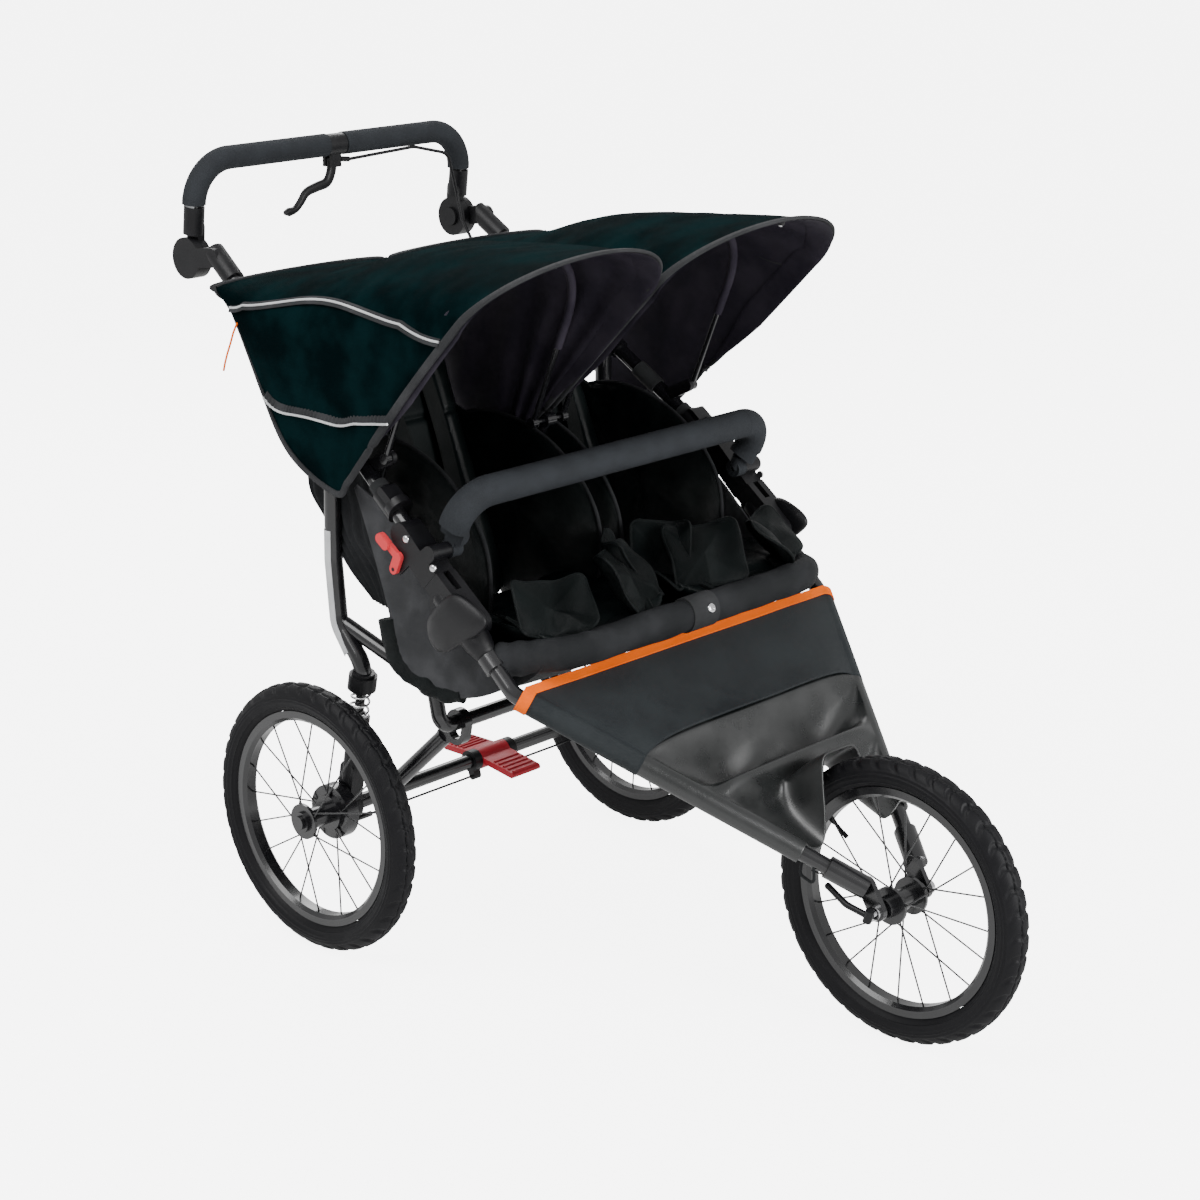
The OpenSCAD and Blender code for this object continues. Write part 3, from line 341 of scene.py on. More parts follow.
class Paint:
    """The finishes of the stroller."""

    TUBE = Finish("gloss_black_paint", Grain.PAINT, (0.004, 0.004, 0.005), (0.008, 0.008, 0.009), 0.24, coat=0.4)
    MOULDING = Finish("black_moulding", Grain.MOULDED, (0.004, 0.004, 0.005), (0.009, 0.009, 0.010), 0.40, shine=0.26)
    SHELL = Finish("satin_footrest", Grain.MOULDED, (0.004, 0.005, 0.005), (0.008, 0.009, 0.009), 0.32, shine=0.75)
    FOAM = Finish("slate_foam", Grain.FOAM, (0.021, 0.023, 0.026), (0.028, 0.031, 0.035), 0.85, 30.0, shine=0.10)
    TYRE = Finish("grey_rubber", Grain.RUBBER, (0.003, 0.003, 0.004), (0.006, 0.006, 0.007), 0.54, shine=0.17)
    CLOTH = Finish("charcoal_cloth", Grain.WOVEN, (0.008, 0.009, 0.010), (0.022, 0.023, 0.025), 0.72, shine=0.15)
    SIDE = Finish("side_cloth", Grain.WOVEN, (0.026, 0.027, 0.029), (0.062, 0.063, 0.067), 0.78, shine=0.15)
    LINER = Finish("quilted_nylon", Grain.WOVEN, (0.0015, 0.0026, 0.0028), (0.0045, 0.0068, 0.0068), 0.46, shine=0.14)
    HOOD = Finish("hood_cloth", Grain.WOVEN, (0.0004, 0.0028, 0.0034), (0.0026, 0.0136, 0.0152), 0.80, 14.0,
                  shine=0.006)
    LINING = Finish("hood_lining", Grain.WOVEN, (0.018, 0.015, 0.024), (0.036, 0.031, 0.043), 0.65, shine=0.12)
    PANEL = Finish("panel_cloth", Grain.WOVEN, (0.010, 0.013, 0.015), (0.018, 0.022, 0.024), 0.50, shine=0.18)
    BINDING = Finish("grey_binding", Grain.RIBBED, (0.026, 0.027, 0.029), (0.050, 0.051, 0.054), 0.8, pitch=0.0016,
                     shine=0.15)
    WEBBING = Finish("webbing", Grain.RIBBED, (0.018, 0.019, 0.020), (0.036, 0.037, 0.039), 0.75, pitch=0.0018,
                     shine=0.2)
    STRAP = Finish("strap", Grain.RIBBED, (0.005, 0.006, 0.006), (0.011, 0.012, 0.012), 0.7, pitch=0.0018, shine=0.15)
    PIPING = Finish("white_piping", Grain.RIBBED, (0.60, 0.61, 0.62), (0.74, 0.75, 0.76), 0.55, pitch=0.0016)
    SILVER = Finish("reflective_strip", Grain.BEADED, (0.42, 0.43, 0.44), (0.58, 0.59, 0.60), 0.38)
    CHROME = Finish("chrome", Grain.METAL, (0.62, 0.62, 0.63), (0.78, 0.78, 0.79), 0.16)
    RED = Finish("red_plastic", Grain.MOULDED, (0.50, 0.001, 0.006), (0.60, 0.002, 0.009), 0.36, shine=0.2)
    MAROON = Finish("red_pedal", Grain.MOULDED, (0.36, 0.010, 0.020), (0.44, 0.014, 0.026), 0.45, shine=0.3)
    # Orange tape, trim and pull cord: their own orange, with a painted glow (glow) on top.
    ORANGE = Finish("orange_tape", Grain.RIBBED, (0.88, 0.120, 0.0), (0.96, 0.150, 0.0), 0.6, pitch=0.002,
                    shine=0.05, glow=0.12)
    FLOOR = Finish("floor", Grain.PLAIN, (0.60, 0.60, 0.60), (0.62, 0.62, 0.62), 0.9, 2.0, shine=0.0, glow=5.8)


# Surfaces


def unit(v: Array) -> Array:
    """Scale the vectors to length one."""
    v = np.asarray(v, float)
    return v / np.maximum(np.linalg.norm(v, axis=-1, keepdims=True), 1e-9)


def curve(points: Sequence, count: int, closed: bool = False) -> Array:
    """Smooth line through points: a Catmull-Rom spline sampled evenly in its parameter.

    Args:
        points: The points to pass through.
        count: Number of samples.
        closed: Whether the line returns to its start.

    Returns:
        The samples, one a row.
    """
    p = np.asarray(points, float)
    n = len(p)
    if closed:
        p = np.vstack((p[-1:], p, p[:2]))
        t = np.linspace(0, n, count, endpoint=False)
    else:
        p = np.vstack((2 * p[:1] - p[1:2], p, 2 * p[-1:] - p[-2:-1]))
        t = np.linspace(0, n - 1, count)
    i = np.minimum(t.astype(int), len(p) - 4)
    f = (t - i)[:, None]
    a, b, c, d = p[i], p[i + 1], p[i + 2], p[i + 3]
    return 0.5 * (2 * b + (c - a) * f + (2 * a - 5 * b + 4 * c - d) * f**2 + (3 * b - a - 3 * c + d) * f**3)


def even(line: Array, count: int) -> Array:
    """Samples of a line at equal steps of its length.

    Args:
        line: Points of the line.
        count: Number of samples.

    Returns:
        The samples, one a row.
    """
    run = np.concatenate(((0.0,), np.cumsum(np.linalg.norm(np.diff(line, axis=0), axis=1))))
    at = np.linspace(0, run[-1], count)
    return np.stack([np.interp(at, run, line[:, k]) for k in range(line.shape[1])], axis=-1)


def rounded(points: Sequence, radius: float, steps: int = 10) -> Array:
    """A line of straight runs whose corners are arcs: each corner is cut back by radius times the tangent of half
    its turn, and the arc between the cuts is drawn round the point that both straight runs are a radius away from.

    Args:
        points: Ends and corners.
        radius: Radius of the arcs.
        steps: Points in an arc.

    Returns:
        Points of the line.
    """
    p = np.asarray(points, float)
    parts = [p[:1]]
    for a, b, c in zip(p[:-2], p[1:-1], p[2:]):
        u, v = unit(a - b), unit(c - b)
        half = math.acos(float(np.clip(u @ v, -1, 1))) / 2
        centre = b + unit(u + v) * radius / math.sin(half)
        turn = math.pi / 2 - half
        angle = np.linspace(-turn, turn, steps)[:, None]
        mid = -unit(u + v)
        parts.append(centre + radius * (np.cos(angle) * mid + np.sin(angle) * unit(v - u)))
    return np.vstack((*parts, p[-1:]))


def ripple(where: Array, wave: float, seed: int, count: int = 9) -> Array:
    """Soft random folds between -1 and 1: a mean of sine waves of random direction and phase.

    Args:
        where: Places, in mm, with the coordinates on the last axis.
        wave: Typical wavelength in mm.
        seed: Seed of the directions.
        count: Number of waves.

    Returns:
        The height at each place.
    """
    rng = np.random.default_rng(seed)
    way = unit(rng.normal(size=(count, where.shape[-1])))
    way *= TURN / (wave * rng.uniform(0.6, 1.7, (count, 1)))
    return np.sin(where @ way.T + rng.uniform(0, 6.3, count)).mean(axis=-1) * 2


def facing(grid: Array) -> Array:
    """Unit normals of a grid: its column direction crossed with its row direction."""
    return unit(np.cross(np.gradient(grid, axis=1), np.gradient(grid, axis=0)))


def ridge(x: Array, at: float, wide: float) -> Array:
    """A bell of height one at a place, e to the less square of the distance in widths."""
    return np.exp(-((x - at) / wide) ** 2)


def bump(x: Array, half: float) -> Array:
    """A smooth hill of height one that ends at plus and minus half."""
    return np.where(np.abs(x) < half, np.cos(np.clip(x / half, -1, 1) * math.pi / 2) ** 2, 0.0)


def rings(path: Array, wide: Union[float, Array], thick: Union[float, Array], side: Union[Sequence, Array],
          count: int = 16, power: float = 1.0) -> Array:
    """Closed rings along a path.

    Each ring is the path's point plus half of wide times the cosine along side, made square to the path, plus half
    of thick times the sine along the cross product of both; a power below one squares the ring off.

    Args:
        path: Points of the path.
        wide: Width along side.
        thick: Width square to side.
        side: One direction, or one for each point.
        count: Points in a ring.
        power: Power of the cosine and sine.

    Returns:
        Grid of points, one ring a row.
    """
    run = unit(np.gradient(path, axis=0))
    a = np.broadcast_to(np.asarray(side, float), path.shape)
    a = unit(a - (a * run).sum(-1, keepdims=True) * run)
    b = np.cross(run, a)
    angle = np.linspace(0, TURN, count, endpoint=False)
    c = np.sign(np.cos(angle)) * np.abs(np.cos(angle)) ** power
    s = np.sign(np.sin(angle)) * np.abs(np.sin(angle)) ** power
    w = np.broadcast_to(np.asarray(wide, float), (len(path),))[:, None, None] / 2
    t = np.broadcast_to(np.asarray(thick, float), (len(path),))[:, None, None] / 2
    return path[:, None] + w * c[None, :, None] * a[:, None] + t * s[None, :, None] * b[:, None]


def lathe(profile: Sequence, base: Sequence, axis: Sequence, count: int = 32) -> Array:
    """Profile of (radius, height) turned round an axis through base.

    Args:
        profile: Points of the profile.
        base: Where the height is zero.
        axis: Direction of the axis.
        count: Points in a ring.

    Returns:
        Grid of points, one ring a row.
    """
    line = np.asarray(profile, float)
    up = unit(np.asarray(axis, float))
    a = unit(np.cross(up, (0.31, 0.87, 0.38)))
    b = np.cross(up, a)
    angle = np.linspace(0, TURN, count, endpoint=False)[:, None]
    round_ = np.cos(angle) * a + np.sin(angle) * b
    return np.asarray(base, float) + line[:, :1, None] * round_[None] + line[:, 1:, None] * up


@dataclass(frozen=True)
class Axes:
    """A local frame in mm."""

    origin: tuple[float, float, float]
    tilt: float = 0.0
    side: float = 1.0

    def at(self, x: Array, y: Array, z: Array) -> Array:
        """Points of local coordinates, turned by tilt degrees round the sideways axis.

        Args:
            x: Distances sideways.
            y: Distances along.
            z: Distances up.

        Returns:
            Points in mm.
        """
        c, s = math.cos(math.radians(self.tilt)), math.sin(math.radians(self.tilt))
        x, y, z = np.broadcast_arrays(x, y, z)
        return np.stack((x * self.side, y * c - z * s, y * s + z * c), axis=-1) + self.origin

    def local(self, points: Array) -> Array:
        """Local coordinates of points.

        Args:
            points: Points in mm.

        Returns:
            Distances sideways, along and up.
        """
        c, s = math.cos(math.radians(self.tilt)), math.sin(math.radians(self.tilt))
        d = points - np.asarray(self.origin)
        y = d[..., 1] * c + d[..., 2] * s
        return np.stack((d[..., 0] * self.side, y, d[..., 2] * c - d[..., 1] * s), axis=-1)


FLAT = Axes((0.0, 0.0, 0.0))


def pillow(outline: Array, thick: float, crown: float = 4.0, axes: Axes = FLAT) -> Array:
    """A stuffed flat shape: the outline drawn in towards its middle, with half the thickness times the square root
    of one less the share of the way out to the power crown, on both faces.

    Args:
        outline: Points of the outline.
        thick: Thickness in the middle.
        crown: Power of the fall towards the edge.
        axes: Frame that the shape lies in.

    Returns:
        Grid of points, from the middle of the top over the edge to the middle of the underside.
    """
    middle = outline.mean(axis=0)
    share = np.sin(np.linspace(0.02, math.pi / 2, 14))
    flat = middle + share[:, None, None] * (outline - middle)
    rise = np.broadcast_to((thick / 2 * np.sqrt(np.maximum(0, 1 - share**crown)))[:, None], flat.shape[:2])
    top = axes.at(flat[..., 0], flat[..., 1], rise)
    low = axes.at(flat[..., 0], flat[..., 1], -rise)
    return np.concatenate((top, low[::-1][1:]))


def box_outline(wide: float, long: float, corner: float) -> Array:
    """Outline of a rectangle with round corners, as 96 points.

    Args:
        wide: Its width.
        long: Its length.
        corner: Radius of the corners.

    Returns:
        Points of the outline.
    """
    w, l = wide / 2, long / 2
    line = rounded(((0, -l), (w, -l), (w, l), (-w, l), (-w, -l), (0, -l)), corner)
    return even(line, 97)[:-1]


def piece(name: str, grid: Array, finish: Finish, ring: bool = True, loop: bool = False,
          outward: Optional[Sequence] = None, crease: float = 50.0) -> bpy.types.Object:
    """Make an object from a grid of points.

    Args:
        name: Its name.
        grid: Points in mm, rows by columns.
        finish: Its finish.
        ring: Whether the last column joins the first; such a grid gets end caps unless it loops.
        loop: Whether the last row joins the first.
        outward: For an open sheet, a direction on its outer side.
        crease: Angle in degrees above which an edge stays sharp.

    Returns:
        The object, at the origin, in metres.
    """
    rows, cols = grid.shape[:2]
    i, j = np.meshgrid(np.arange(rows - (not loop)), np.arange(cols - (not ring)), indexing="ij")
    corner_i = np.stack((i, i, i + 1, i + 1), axis=-1).reshape(-1, 4)
    corner_j = np.stack((j, j + 1, j + 1, j), axis=-1).reshape(-1, 4)
    points = grid.reshape(-1, 3)
    quads = (corner_i % rows) * cols + corner_j % cols
    a, b, c = (points[quads[:, k]] for k in range(3))
    square = np.cross(b - a, points[quads[:, 3]] - a) + np.cross(points[quads[:, 3]] - c, b - c)
    centre = points.mean(axis=0)
    out = (square * (a - centre)).sum() if outward is None else (square @ np.asarray(outward, float)).sum()
    if out < 0:
        quads, corner_i, corner_j = quads[:, ::-1], corner_i[:, ::-1], corner_j[:, ::-1]
    faces = quads.tolist()
    if ring and not loop:
        first, last = list(range(cols)), list(range((rows - 1) * cols, rows * cols))
        faces += [first, last[::-1]] if out < 0 else [first[::-1], last]
    mesh = bpy.data.meshes.new(name)
    mesh.from_pydata((points * MM + AXLE).tolist(), [], faces)
    wide = np.pad(grid, ((0, int(loop)), (0, int(ring)), (0, 0)), mode="wrap") * MM
    u = np.pad(np.cumsum(np.linalg.norm(np.diff(wide, axis=1), axis=2), axis=1), ((0, 0), (1, 0)))
    v = np.pad(np.cumsum(np.linalg.norm(np.diff(wide, axis=0), axis=2), axis=0), ((1, 0), (0, 0)))
    uv = np.zeros((len(mesh.loops), 2), np.float32)
    uv[:quads.size, 0] = u[corner_i, corner_j].ravel()
    uv[:quads.size, 1] = v[corner_i, corner_j].ravel()
    mesh.uv_layers.new(name="cloth").data.foreach_set("uv", uv.ravel())
    mesh.polygons.foreach_set("use_smooth", np.ones(len(mesh.polygons), bool))
    mesh.set_sharp_from_angle(angle=math.radians(crease))
    mesh.materials.append(finish.material())
    mesh.update()
    made = bpy.data.objects.new(name, mesh)
    bpy.context.scene.collection.objects.link(made)
    LOG.info("piece %s: %d faces", name, len(mesh.polygons))
    return made


def plain(name: str, grid: Array, finish: Finish, body: str, crease: float = 50.0) -> bpy.types.Object:
    """Make a closed piece that one body carries."""
    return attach(piece(name, grid, finish, crease=crease), body)


def soft(name: str, grid: Array, finish: Finish, body: str) -> bpy.types.Object:
    """Make a padded closed piece of dark cloth that one body carries.

    Args:
        name: Its name.
        grid: Its points in mm.
        finish: Its finish.
        body: The body that carries it.

    Returns:
        The piece.
    """
    made = piece(name, grid, finish)
    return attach(made, body)


def thicken(made: bpy.types.Object, mm: float, lining: Optional[Finish] = None, offset: float = -1.0) -> None:
    """Give a sheet a thickness, and a second material on its inner side if asked.

    Args:
        made: The sheet.
        mm: Thickness in mm.
        lining: Finish of its inner side.
        offset: Side that the thickness grows to.
    """
    solid = made.modifiers.new("thickness", "SOLIDIFY")
    solid.thickness = mm * MM
    solid.offset = offset
    if lining:
        made.data.materials.append(lining.material())
        solid.material_offset = 1


def cloth_sheet(grid: Array) -> None:
    """Work out the edges of a sheet's grid of points in mm; nothing keeps them.

    Args:
        grid: Its points in mm.
    """
    metre = grid * MM
    a, b = metre[1:, :-1] - metre[:-1, :-1], metre[:-1, 1:] - metre[:-1, :-1]
    c, d = metre[1:, :-1] - metre[1:, 1:], metre[:-1, 1:] - metre[1:, 1:]


def inflate(made: bpy.types.Object, cap: float) -> None:
    """Fill a closed mesh with a little air, as a cloth, and keep the result in its mesh.

    Args:
        made: The object.
        cap: Largest move of a point, in mm.
    """
    bpy.context.view_layer.objects.active = made
    remesh = made.modifiers.new("even", "REMESH")
    remesh.mode = "VOXEL"
    remesh.voxel_size = VOXEL * MM
    remesh.use_smooth_shade = True
    bake(made)
    before = read(made.data)
    cloth = made.modifiers.new("air", "CLOTH")
    cloth.settings.use_pressure = True
    cloth.settings.uniform_pressure_force = AIR
    cloth.settings.effector_weights.gravity = 0.0
    cloth.settings.quality = 5
    for frame in range(1, FRAMES + 1):
        bpy.context.scene.frame_set(frame)
    bake(made)
    bpy.context.scene.frame_set(1)
    move = read(made.data) - before
    far = np.linalg.norm(move, axis=1, keepdims=True)
    write(made.data, before + move * np.minimum(1.0, cap * MM / np.maximum(far, 1e-9)))


def bake(made: bpy.types.Object) -> None:
    """Turn what the modifiers show now into the object's own mesh.

    Args:
        made: The object.
    """
    shown = made.evaluated_get(bpy.context.evaluated_depsgraph_get())
    mesh = bpy.data.meshes.new_from_object(shown)
    made.modifiers.clear()
    made.data = mesh


def read(mesh: bpy.types.Mesh) -> Array:
    """Points of a mesh.

    Args:
        mesh: The mesh.

    Returns:
        Its points in metres, one a row.
    """
    flat = np.empty(len(mesh.vertices) * 3, np.float32)
    mesh.vertices.foreach_get("co", flat)
    return flat.reshape(-1, 3).astype(float)


def write(mesh: bpy.types.Mesh, points: Array) -> None:
    """Set the points of a mesh."""
    mesh.vertices.foreach_set("co", points.astype(np.float32).ravel())
    mesh.update()


def finer(made: bpy.types.Object) -> None:
    """Subdivide once, smoothly."""
    sub = made.modifiers.new("smooth", "SUBSURF")
    sub.levels = sub.render_levels = 1


# Sub-assemblies


@dataclass
class Studio:
    """Camera, lights and floor: places in metres, angles in degrees, the floor's reach in mm."""

    position: tuple[float, float, float] = (-2.575, -2.334, 1.598)
    azimuth: float = -46.89
    elevation: float = 17.32
    lens: float = 77.95
    sensor: float = 36.0
    middle: tuple[float, float, float] = (0.0, 0.0, 0.55)
    sky: float = 0.80
    reach: float = 400000.0

    @staticmethod
    def stand(made: bpy.types.Object, right: Array, back: Array, place: Sequence) -> None:
        """Put an object at a place, with its x axis to the right and its z axis to the back.

        Args:
            made: The object.
            right: Direction of its x axis.
            back: Direction of its z axis.
            place: Where it stands, in metres.
        """
        turn = np.eye(4)
        turn[:3] = np.column_stack((right, np.cross(back, right), back, place))
        made.matrix_world = Matrix(turn.tolist())
        bpy.context.scene.collection.objects.link(made)

    def camera(self) -> None:
        """Put the camera where the photo was taken from."""
        data = bpy.data.cameras.new("camera")
        data.lens = self.lens
        data.sensor_width = self.sensor
        made = bpy.data.objects.new("camera", data)
        az, el = math.radians(self.azimuth), math.radians(self.elevation)
        back = np.array((math.sin(az) * math.cos(el), -math.cos(az) * math.cos(el), math.sin(el)))
        self.stand(made, np.array((math.cos(az), math.sin(az), 0.0)), back, self.position)
        bpy.context.scene.camera = made

    def light(self, name: str, place: Sequence, size: float, power: float) -> None:
        """Add one large soft light aimed at the middle of the stroller.

        Args:
            name: Its name.
            place: Where it stands, in metres.
            size: Its side in metres.
            power: Its power in watts.
        """
        data = bpy.data.lights.new(name, "AREA")
        data.size = size
        data.energy = power
        made = bpy.data.objects.new(name, data)
        back = unit(np.asarray(place, float) - self.middle)
        self.stand(made, unit(np.cross((0.0, 0.0, 1.0), back) + (1e-6, 0, 0)), back, place)

    def build(self) -> None:
        """Light the scene and lay the floor."""
        self.camera()
        world = bpy.data.worlds.new("studio")
        world.use_nodes = True
        shade = world.node_tree.nodes["Background"]
        shade.inputs["Color"].default_value = (1.0, 1.0, 1.0, 1.0)
        shade.inputs["Strength"].default_value = self.sky
        bpy.context.scene.world = world
        self.light("key", (-2.2, 0.4, 3.2), 2.4, 110.0)
        self.light("front", (0.2, -3.6, 1.5), 1.6, 150.0)
        self.light("back", (1.6, 2.6, 2.6), 2.0, 70.0)
        ends = (-self.reach, self.reach)
        grid = np.array([[(x, y, 0.0) for x in ends] for y in ends])
        piece("floor", grid, Paint.FLOOR, ring=False, outward=(0, 0, 1))


@dataclass
class Hood:
    """One of the two hoods: cloth, bindings, tapes and lining.

    inner and outer are the hems' distances from the middle plane at the rear, and flare is how much further out the
    outer one is in front; shoulder, straight and tuck shape the arch; bow is where the bow stands on the way to the
    front, and sag and pleat are the depths of the cloth's sag and pleats in mm.
    """

    name: str
    side: float
    inner: float = 8.0
    outer: float = 328.0
    flare: float = 32.0
    middle: float = 170.0
    shoulder: float = 0.6
    straight: float = 0.72
    tuck: float = 0.12
    bow: float = 0.72
    sag: float = 5.0
    pleat: float = 3.2

    HEM = ((177, 925), (110, 800), (47, 719), (-51, 680), (-82, 702), (-112, 733), (-143, 766))
    CROWN = ((199, 942), (44, 974), (-110, 1016), (-265, 1030), (-420, 1038))

    def at(self, s: Array, w: Array, inset: Union[float, Array] = 0.0) -> Array:
        """Points of the hood.

        Going from the rear (s = 0) to the front edge (s = 1) and from the inner hem (w = -1) over the crown to the
        outer hem (w = 1), each arch is a quarter of an ellipse from the crown line to each shoulder and runs straight
        down from there to the hem line; the outer side is tucked in towards the hem by a square law.

        Args:
            s: Share of the way to the front.
            w: Share of the way round the arch.
            inset: Distance inside the cloth in mm.

        Returns:
            Points in mm.
        """
        s, w = np.broadcast_arrays(np.asarray(s, float), np.asarray(w, float))
        fine = np.linspace(0, 1, 241)
        hem, crown = curve(self.HEM, len(fine)), curve(self.CROWN, len(fine))
        hem_y, hem_z = (np.interp(s, fine, hem[:, k]) for k in (0, 1))
        top_y, top_z = (np.interp(s, fine, crown[:, k]) for k in (0, 1))
        turn = np.minimum(np.abs(w) / self.shoulder, 1.0) * math.pi / 2
        drop = np.maximum(0.0, (np.abs(w) - self.shoulder) / (1 - self.shoulder))
        reach = np.sign(w) * np.sin(turn) - np.where(w > 0, self.tuck * drop**2, 0.0)
        rise = (1 - drop) * (self.straight + (1 - self.straight) * np.cos(turn))
        half = (self.outer + self.flare * s - self.inner) / 2 - inset
        x = self.inner + inset + half * (1 + reach)
        return np.stack((x * self.side, hem_y + (top_y - hem_y) * rise,
                         hem_z + (top_z - inset - hem_z) * rise), axis=-1)

    def hang(self, made: bpy.types.Object) -> None:
        """Bake a piece's transform into its mesh."""
        x = self.side * self.middle * MM
        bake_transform(made)

    def cloth(self) -> None:
        """The hood's cloth with its sag behind the bow, soft creases and pleats on its inner half."""
        s = np.linspace(0, 1, 131)[:, None]
        w = np.linspace(-1, 1, 201)[None, :]
        grid = self.at(s, w)
        over = np.cos(np.minimum(np.abs(w) / self.shoulder, 1.0) * math.pi / 2)
        free = np.sin(math.pi * np.clip(s, 0, 1)) ** 0.7
        sag = self.sag * np.sin(math.pi * np.clip(s / self.bow, 0, 1)) ** 2 * over
        fold = ripple(grid * (1.0, 0.5, 0.8), 120, SEED) * 2.2 + ripple(grid, 45, SEED + 1) * 0.8
        pleat = (1 + np.sin(46 * s + 2.5 * np.sin(3 * w))) * np.clip(-(w + 0.2) / 0.3, 0, 1)
        pleat = pleat * np.clip((1 + w) / 0.1, 0, 1)
        inward = self.at(s, w, 1.0) - grid
        grid = grid + unit(inward) * ((sag + fold + 1.2 + self.pleat * pleat) * free)[..., None]
        made = piece(f"hood_{self.name}_cloth", grid, Paint.HOOD, ring=False, outward=(0, 0, 1))
        thicken(made, 2.0, Paint.LINING)
        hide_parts(f"hood_{self.name}")
        cloth_sheet(grid)
        self.hang(made)

    def edge(self, part: str, edge: Array, inner: Array, wide: Union[float, Array], thick: float, finish: Finish,
             shift: float = 0.4) -> None:
        """Bind an edge with folded tape.

        Args:
            part: Name of the tape.
            edge: The edge line.
            inner: The same line a little further in.
            wide: Width of the tape, one for all or one for each point.
            thick: Its thickness.
            finish: Its finish.
            shift: Share of the width that lies inside the edge.
        """
        into = unit(inner - edge)
        wide = np.broadcast_to(wide, len(edge))
        grid = rings(edge + into * (wide * shift)[:, None], wide, thick, into, 14, 0.6)
        made = piece(f"hood_{self.name}_{part}", grid, finish)
        self.hang(made)

    def bindings(self) -> None:
        """Tape on the front arch, the rear arch and both hems."""
        w = np.linspace(-1, 1, 181)
        self.edge("front_binding", self.at(1.0, w), self.at(0.985, w), 12, 5.0, Paint.BINDING)
        self.edge("rear_binding", self.at(0.0, w), self.at(0.015, w), 12, 5.0, Paint.BINDING)
        s = np.linspace(0.0, 1.0, 90)
        self.edge("outer_hem", self.at(s, 1.0), self.at(s, 0.99), 10, 4.6, Paint.BINDING)
        self.edge("inner_hem", self.at(s, -1.0), self.at(s, -0.99), 10, 4.6, Paint.BINDING)
        w = w[4:-4]
        taper = 40 * np.clip((1 - np.abs(w)) / 0.2, 0.1, 1)
        self.edge("visor_hem", self.at(0.995, w, 3.2), self.at(0.97, w, 3.2), taper, 1.6, Paint.LINING, 0.5)

    def trace(self, line: Sequence, count: int) -> tuple[Array, Array]:
        """Find a side line on the cloth: for each (y, z) the nearest sample of a fine grid, then a smooth fit.

        Args:
            line: Points (y, z) in mm.
            count: Number of samples.

        Returns:
            The line on the cloth and the outward normals there.
        """
        s, w = np.meshgrid(np.linspace(0, 1, 260), np.linspace(0.25, 1.0, 260), indexing="ij")
        grid = self.at(s, w)[..., 1:].reshape(-1, 2)
        t = np.linspace(0, 1, 24)
        goal = even(curve(line, 60), len(t))
        near = np.argmin(((grid[None] - goal[:, None]) ** 2).sum(-1), axis=1)
        fit_s, fit_w = np.polyfit(t, s.ravel()[near], 4), np.polyfit(t, w.ravel()[near], 4)
        u = np.linspace(0, 1, count)
        a, b = np.polyval(fit_s, u), np.polyval(fit_w, u)
        path = self.at(a, b)
        return path, unit(self.at(a, b, -4.0) - path)

    def tape(self, part: str, line: Sequence, wide: float, finish: Finish, ruche: float, pipe: float) -> None:
        """Sew a tape with white piping along a side line.

        Args:
            part: Name of the tape.
            line: Points (y, z) of its middle.
            wide: Its width.
            finish: Its finish.
            ruche: Height of its gathers.
            pipe: Where the piping lies, as a share of half the width.
        """
        path, out = self.trace(line, 260)
        across = unit(np.cross(np.gradient(path, axis=0), out))
        across *= np.sign(across[:, 2:3])
        run = np.linspace(0, 1, len(path))[:, None]
        gather = ruche * np.sin(run * 240) * (0.6 + 0.4 * np.sin(run * 37))
        thick = 2.6 + 1.2 * np.abs(gather[:, 0])
        grid = rings(path + out * (0.8 + gather), wide, thick, across, 14, 0.6)
        made = piece(f"hood_{self.name}_{part}", grid, finish)
        self.hang(made)
        cord = path + out * (2.6 + gather) + across * wide * 0.5 * pipe
        made = piece(f"hood_{self.name}_{part}_piping", rings(cord, 3.4, 3.0, across, 10), Paint.PIPING)
        self.hang(made)

    def sleeve(self) -> None:
        """The lining's channel over the bow."""
        base, lean = np.array((-140.0, 745.0)), math.radians(113)
        up = np.array((math.cos(lean), math.sin(lean)))
        corners = [(30, 0), (30, 297.5), (310, 297.5), (310, 0)]
        line = rounded([(x * self.side, *(base + up * h)) for x, h in corners], 126, 30)
        line = even(line, 160)[26:-26]
        grid = rings(line, 12.5, 12.5, (0, up[1], -up[0]), 18)
        plain(f"hood_{self.name}_sleeve", grid, Paint.LINING, f"hood_bow_{self.name}")

    def toggle(self) -> None:
        """Small black toggle with a white stud under the front crown."""
        top, low = self.at(0.93, 0.10, 2.5), self.at(0.93, 0.10, 12.5)
        down = unit(low - top)
        body = ((0.1, -1.0), (5.4, -1.0), (6.0, 2.0), (5.4, 9.0), (3.0, 11.0), (0.1, 11.0))
        stud = ((0.1, 9.5), (2.8, 9.5), (2.8, 11.8), (1.6, 12.8), (0.1, 13.0))
        self.hang(piece(f"hood_{self.name}_toggle", lathe(body, top, down, 24), Paint.MOULDING))
        self.hang(piece(f"hood_{self.name}_stud", lathe(stud, top, down, 20), Paint.PIPING))

    def build(self) -> None:
        """Make the whole hood."""
        self.toggle()
        self.cloth()
        self.bindings()
        self.tape("upper_tape", ((150, 912), (96, 924), (15, 938), (-67, 951), (-145, 947), (-221, 940), (-300, 931)),
                  13, Paint.BINDING, 0.0, 0.0)
        self.tape("lower_tape", ((88, 796), (60, 790), (14, 788), (-68, 792), (-128, 801), (-190, 813)),
                  12, Paint.BINDING, 0.9, -1.0)
        self.sleeve()


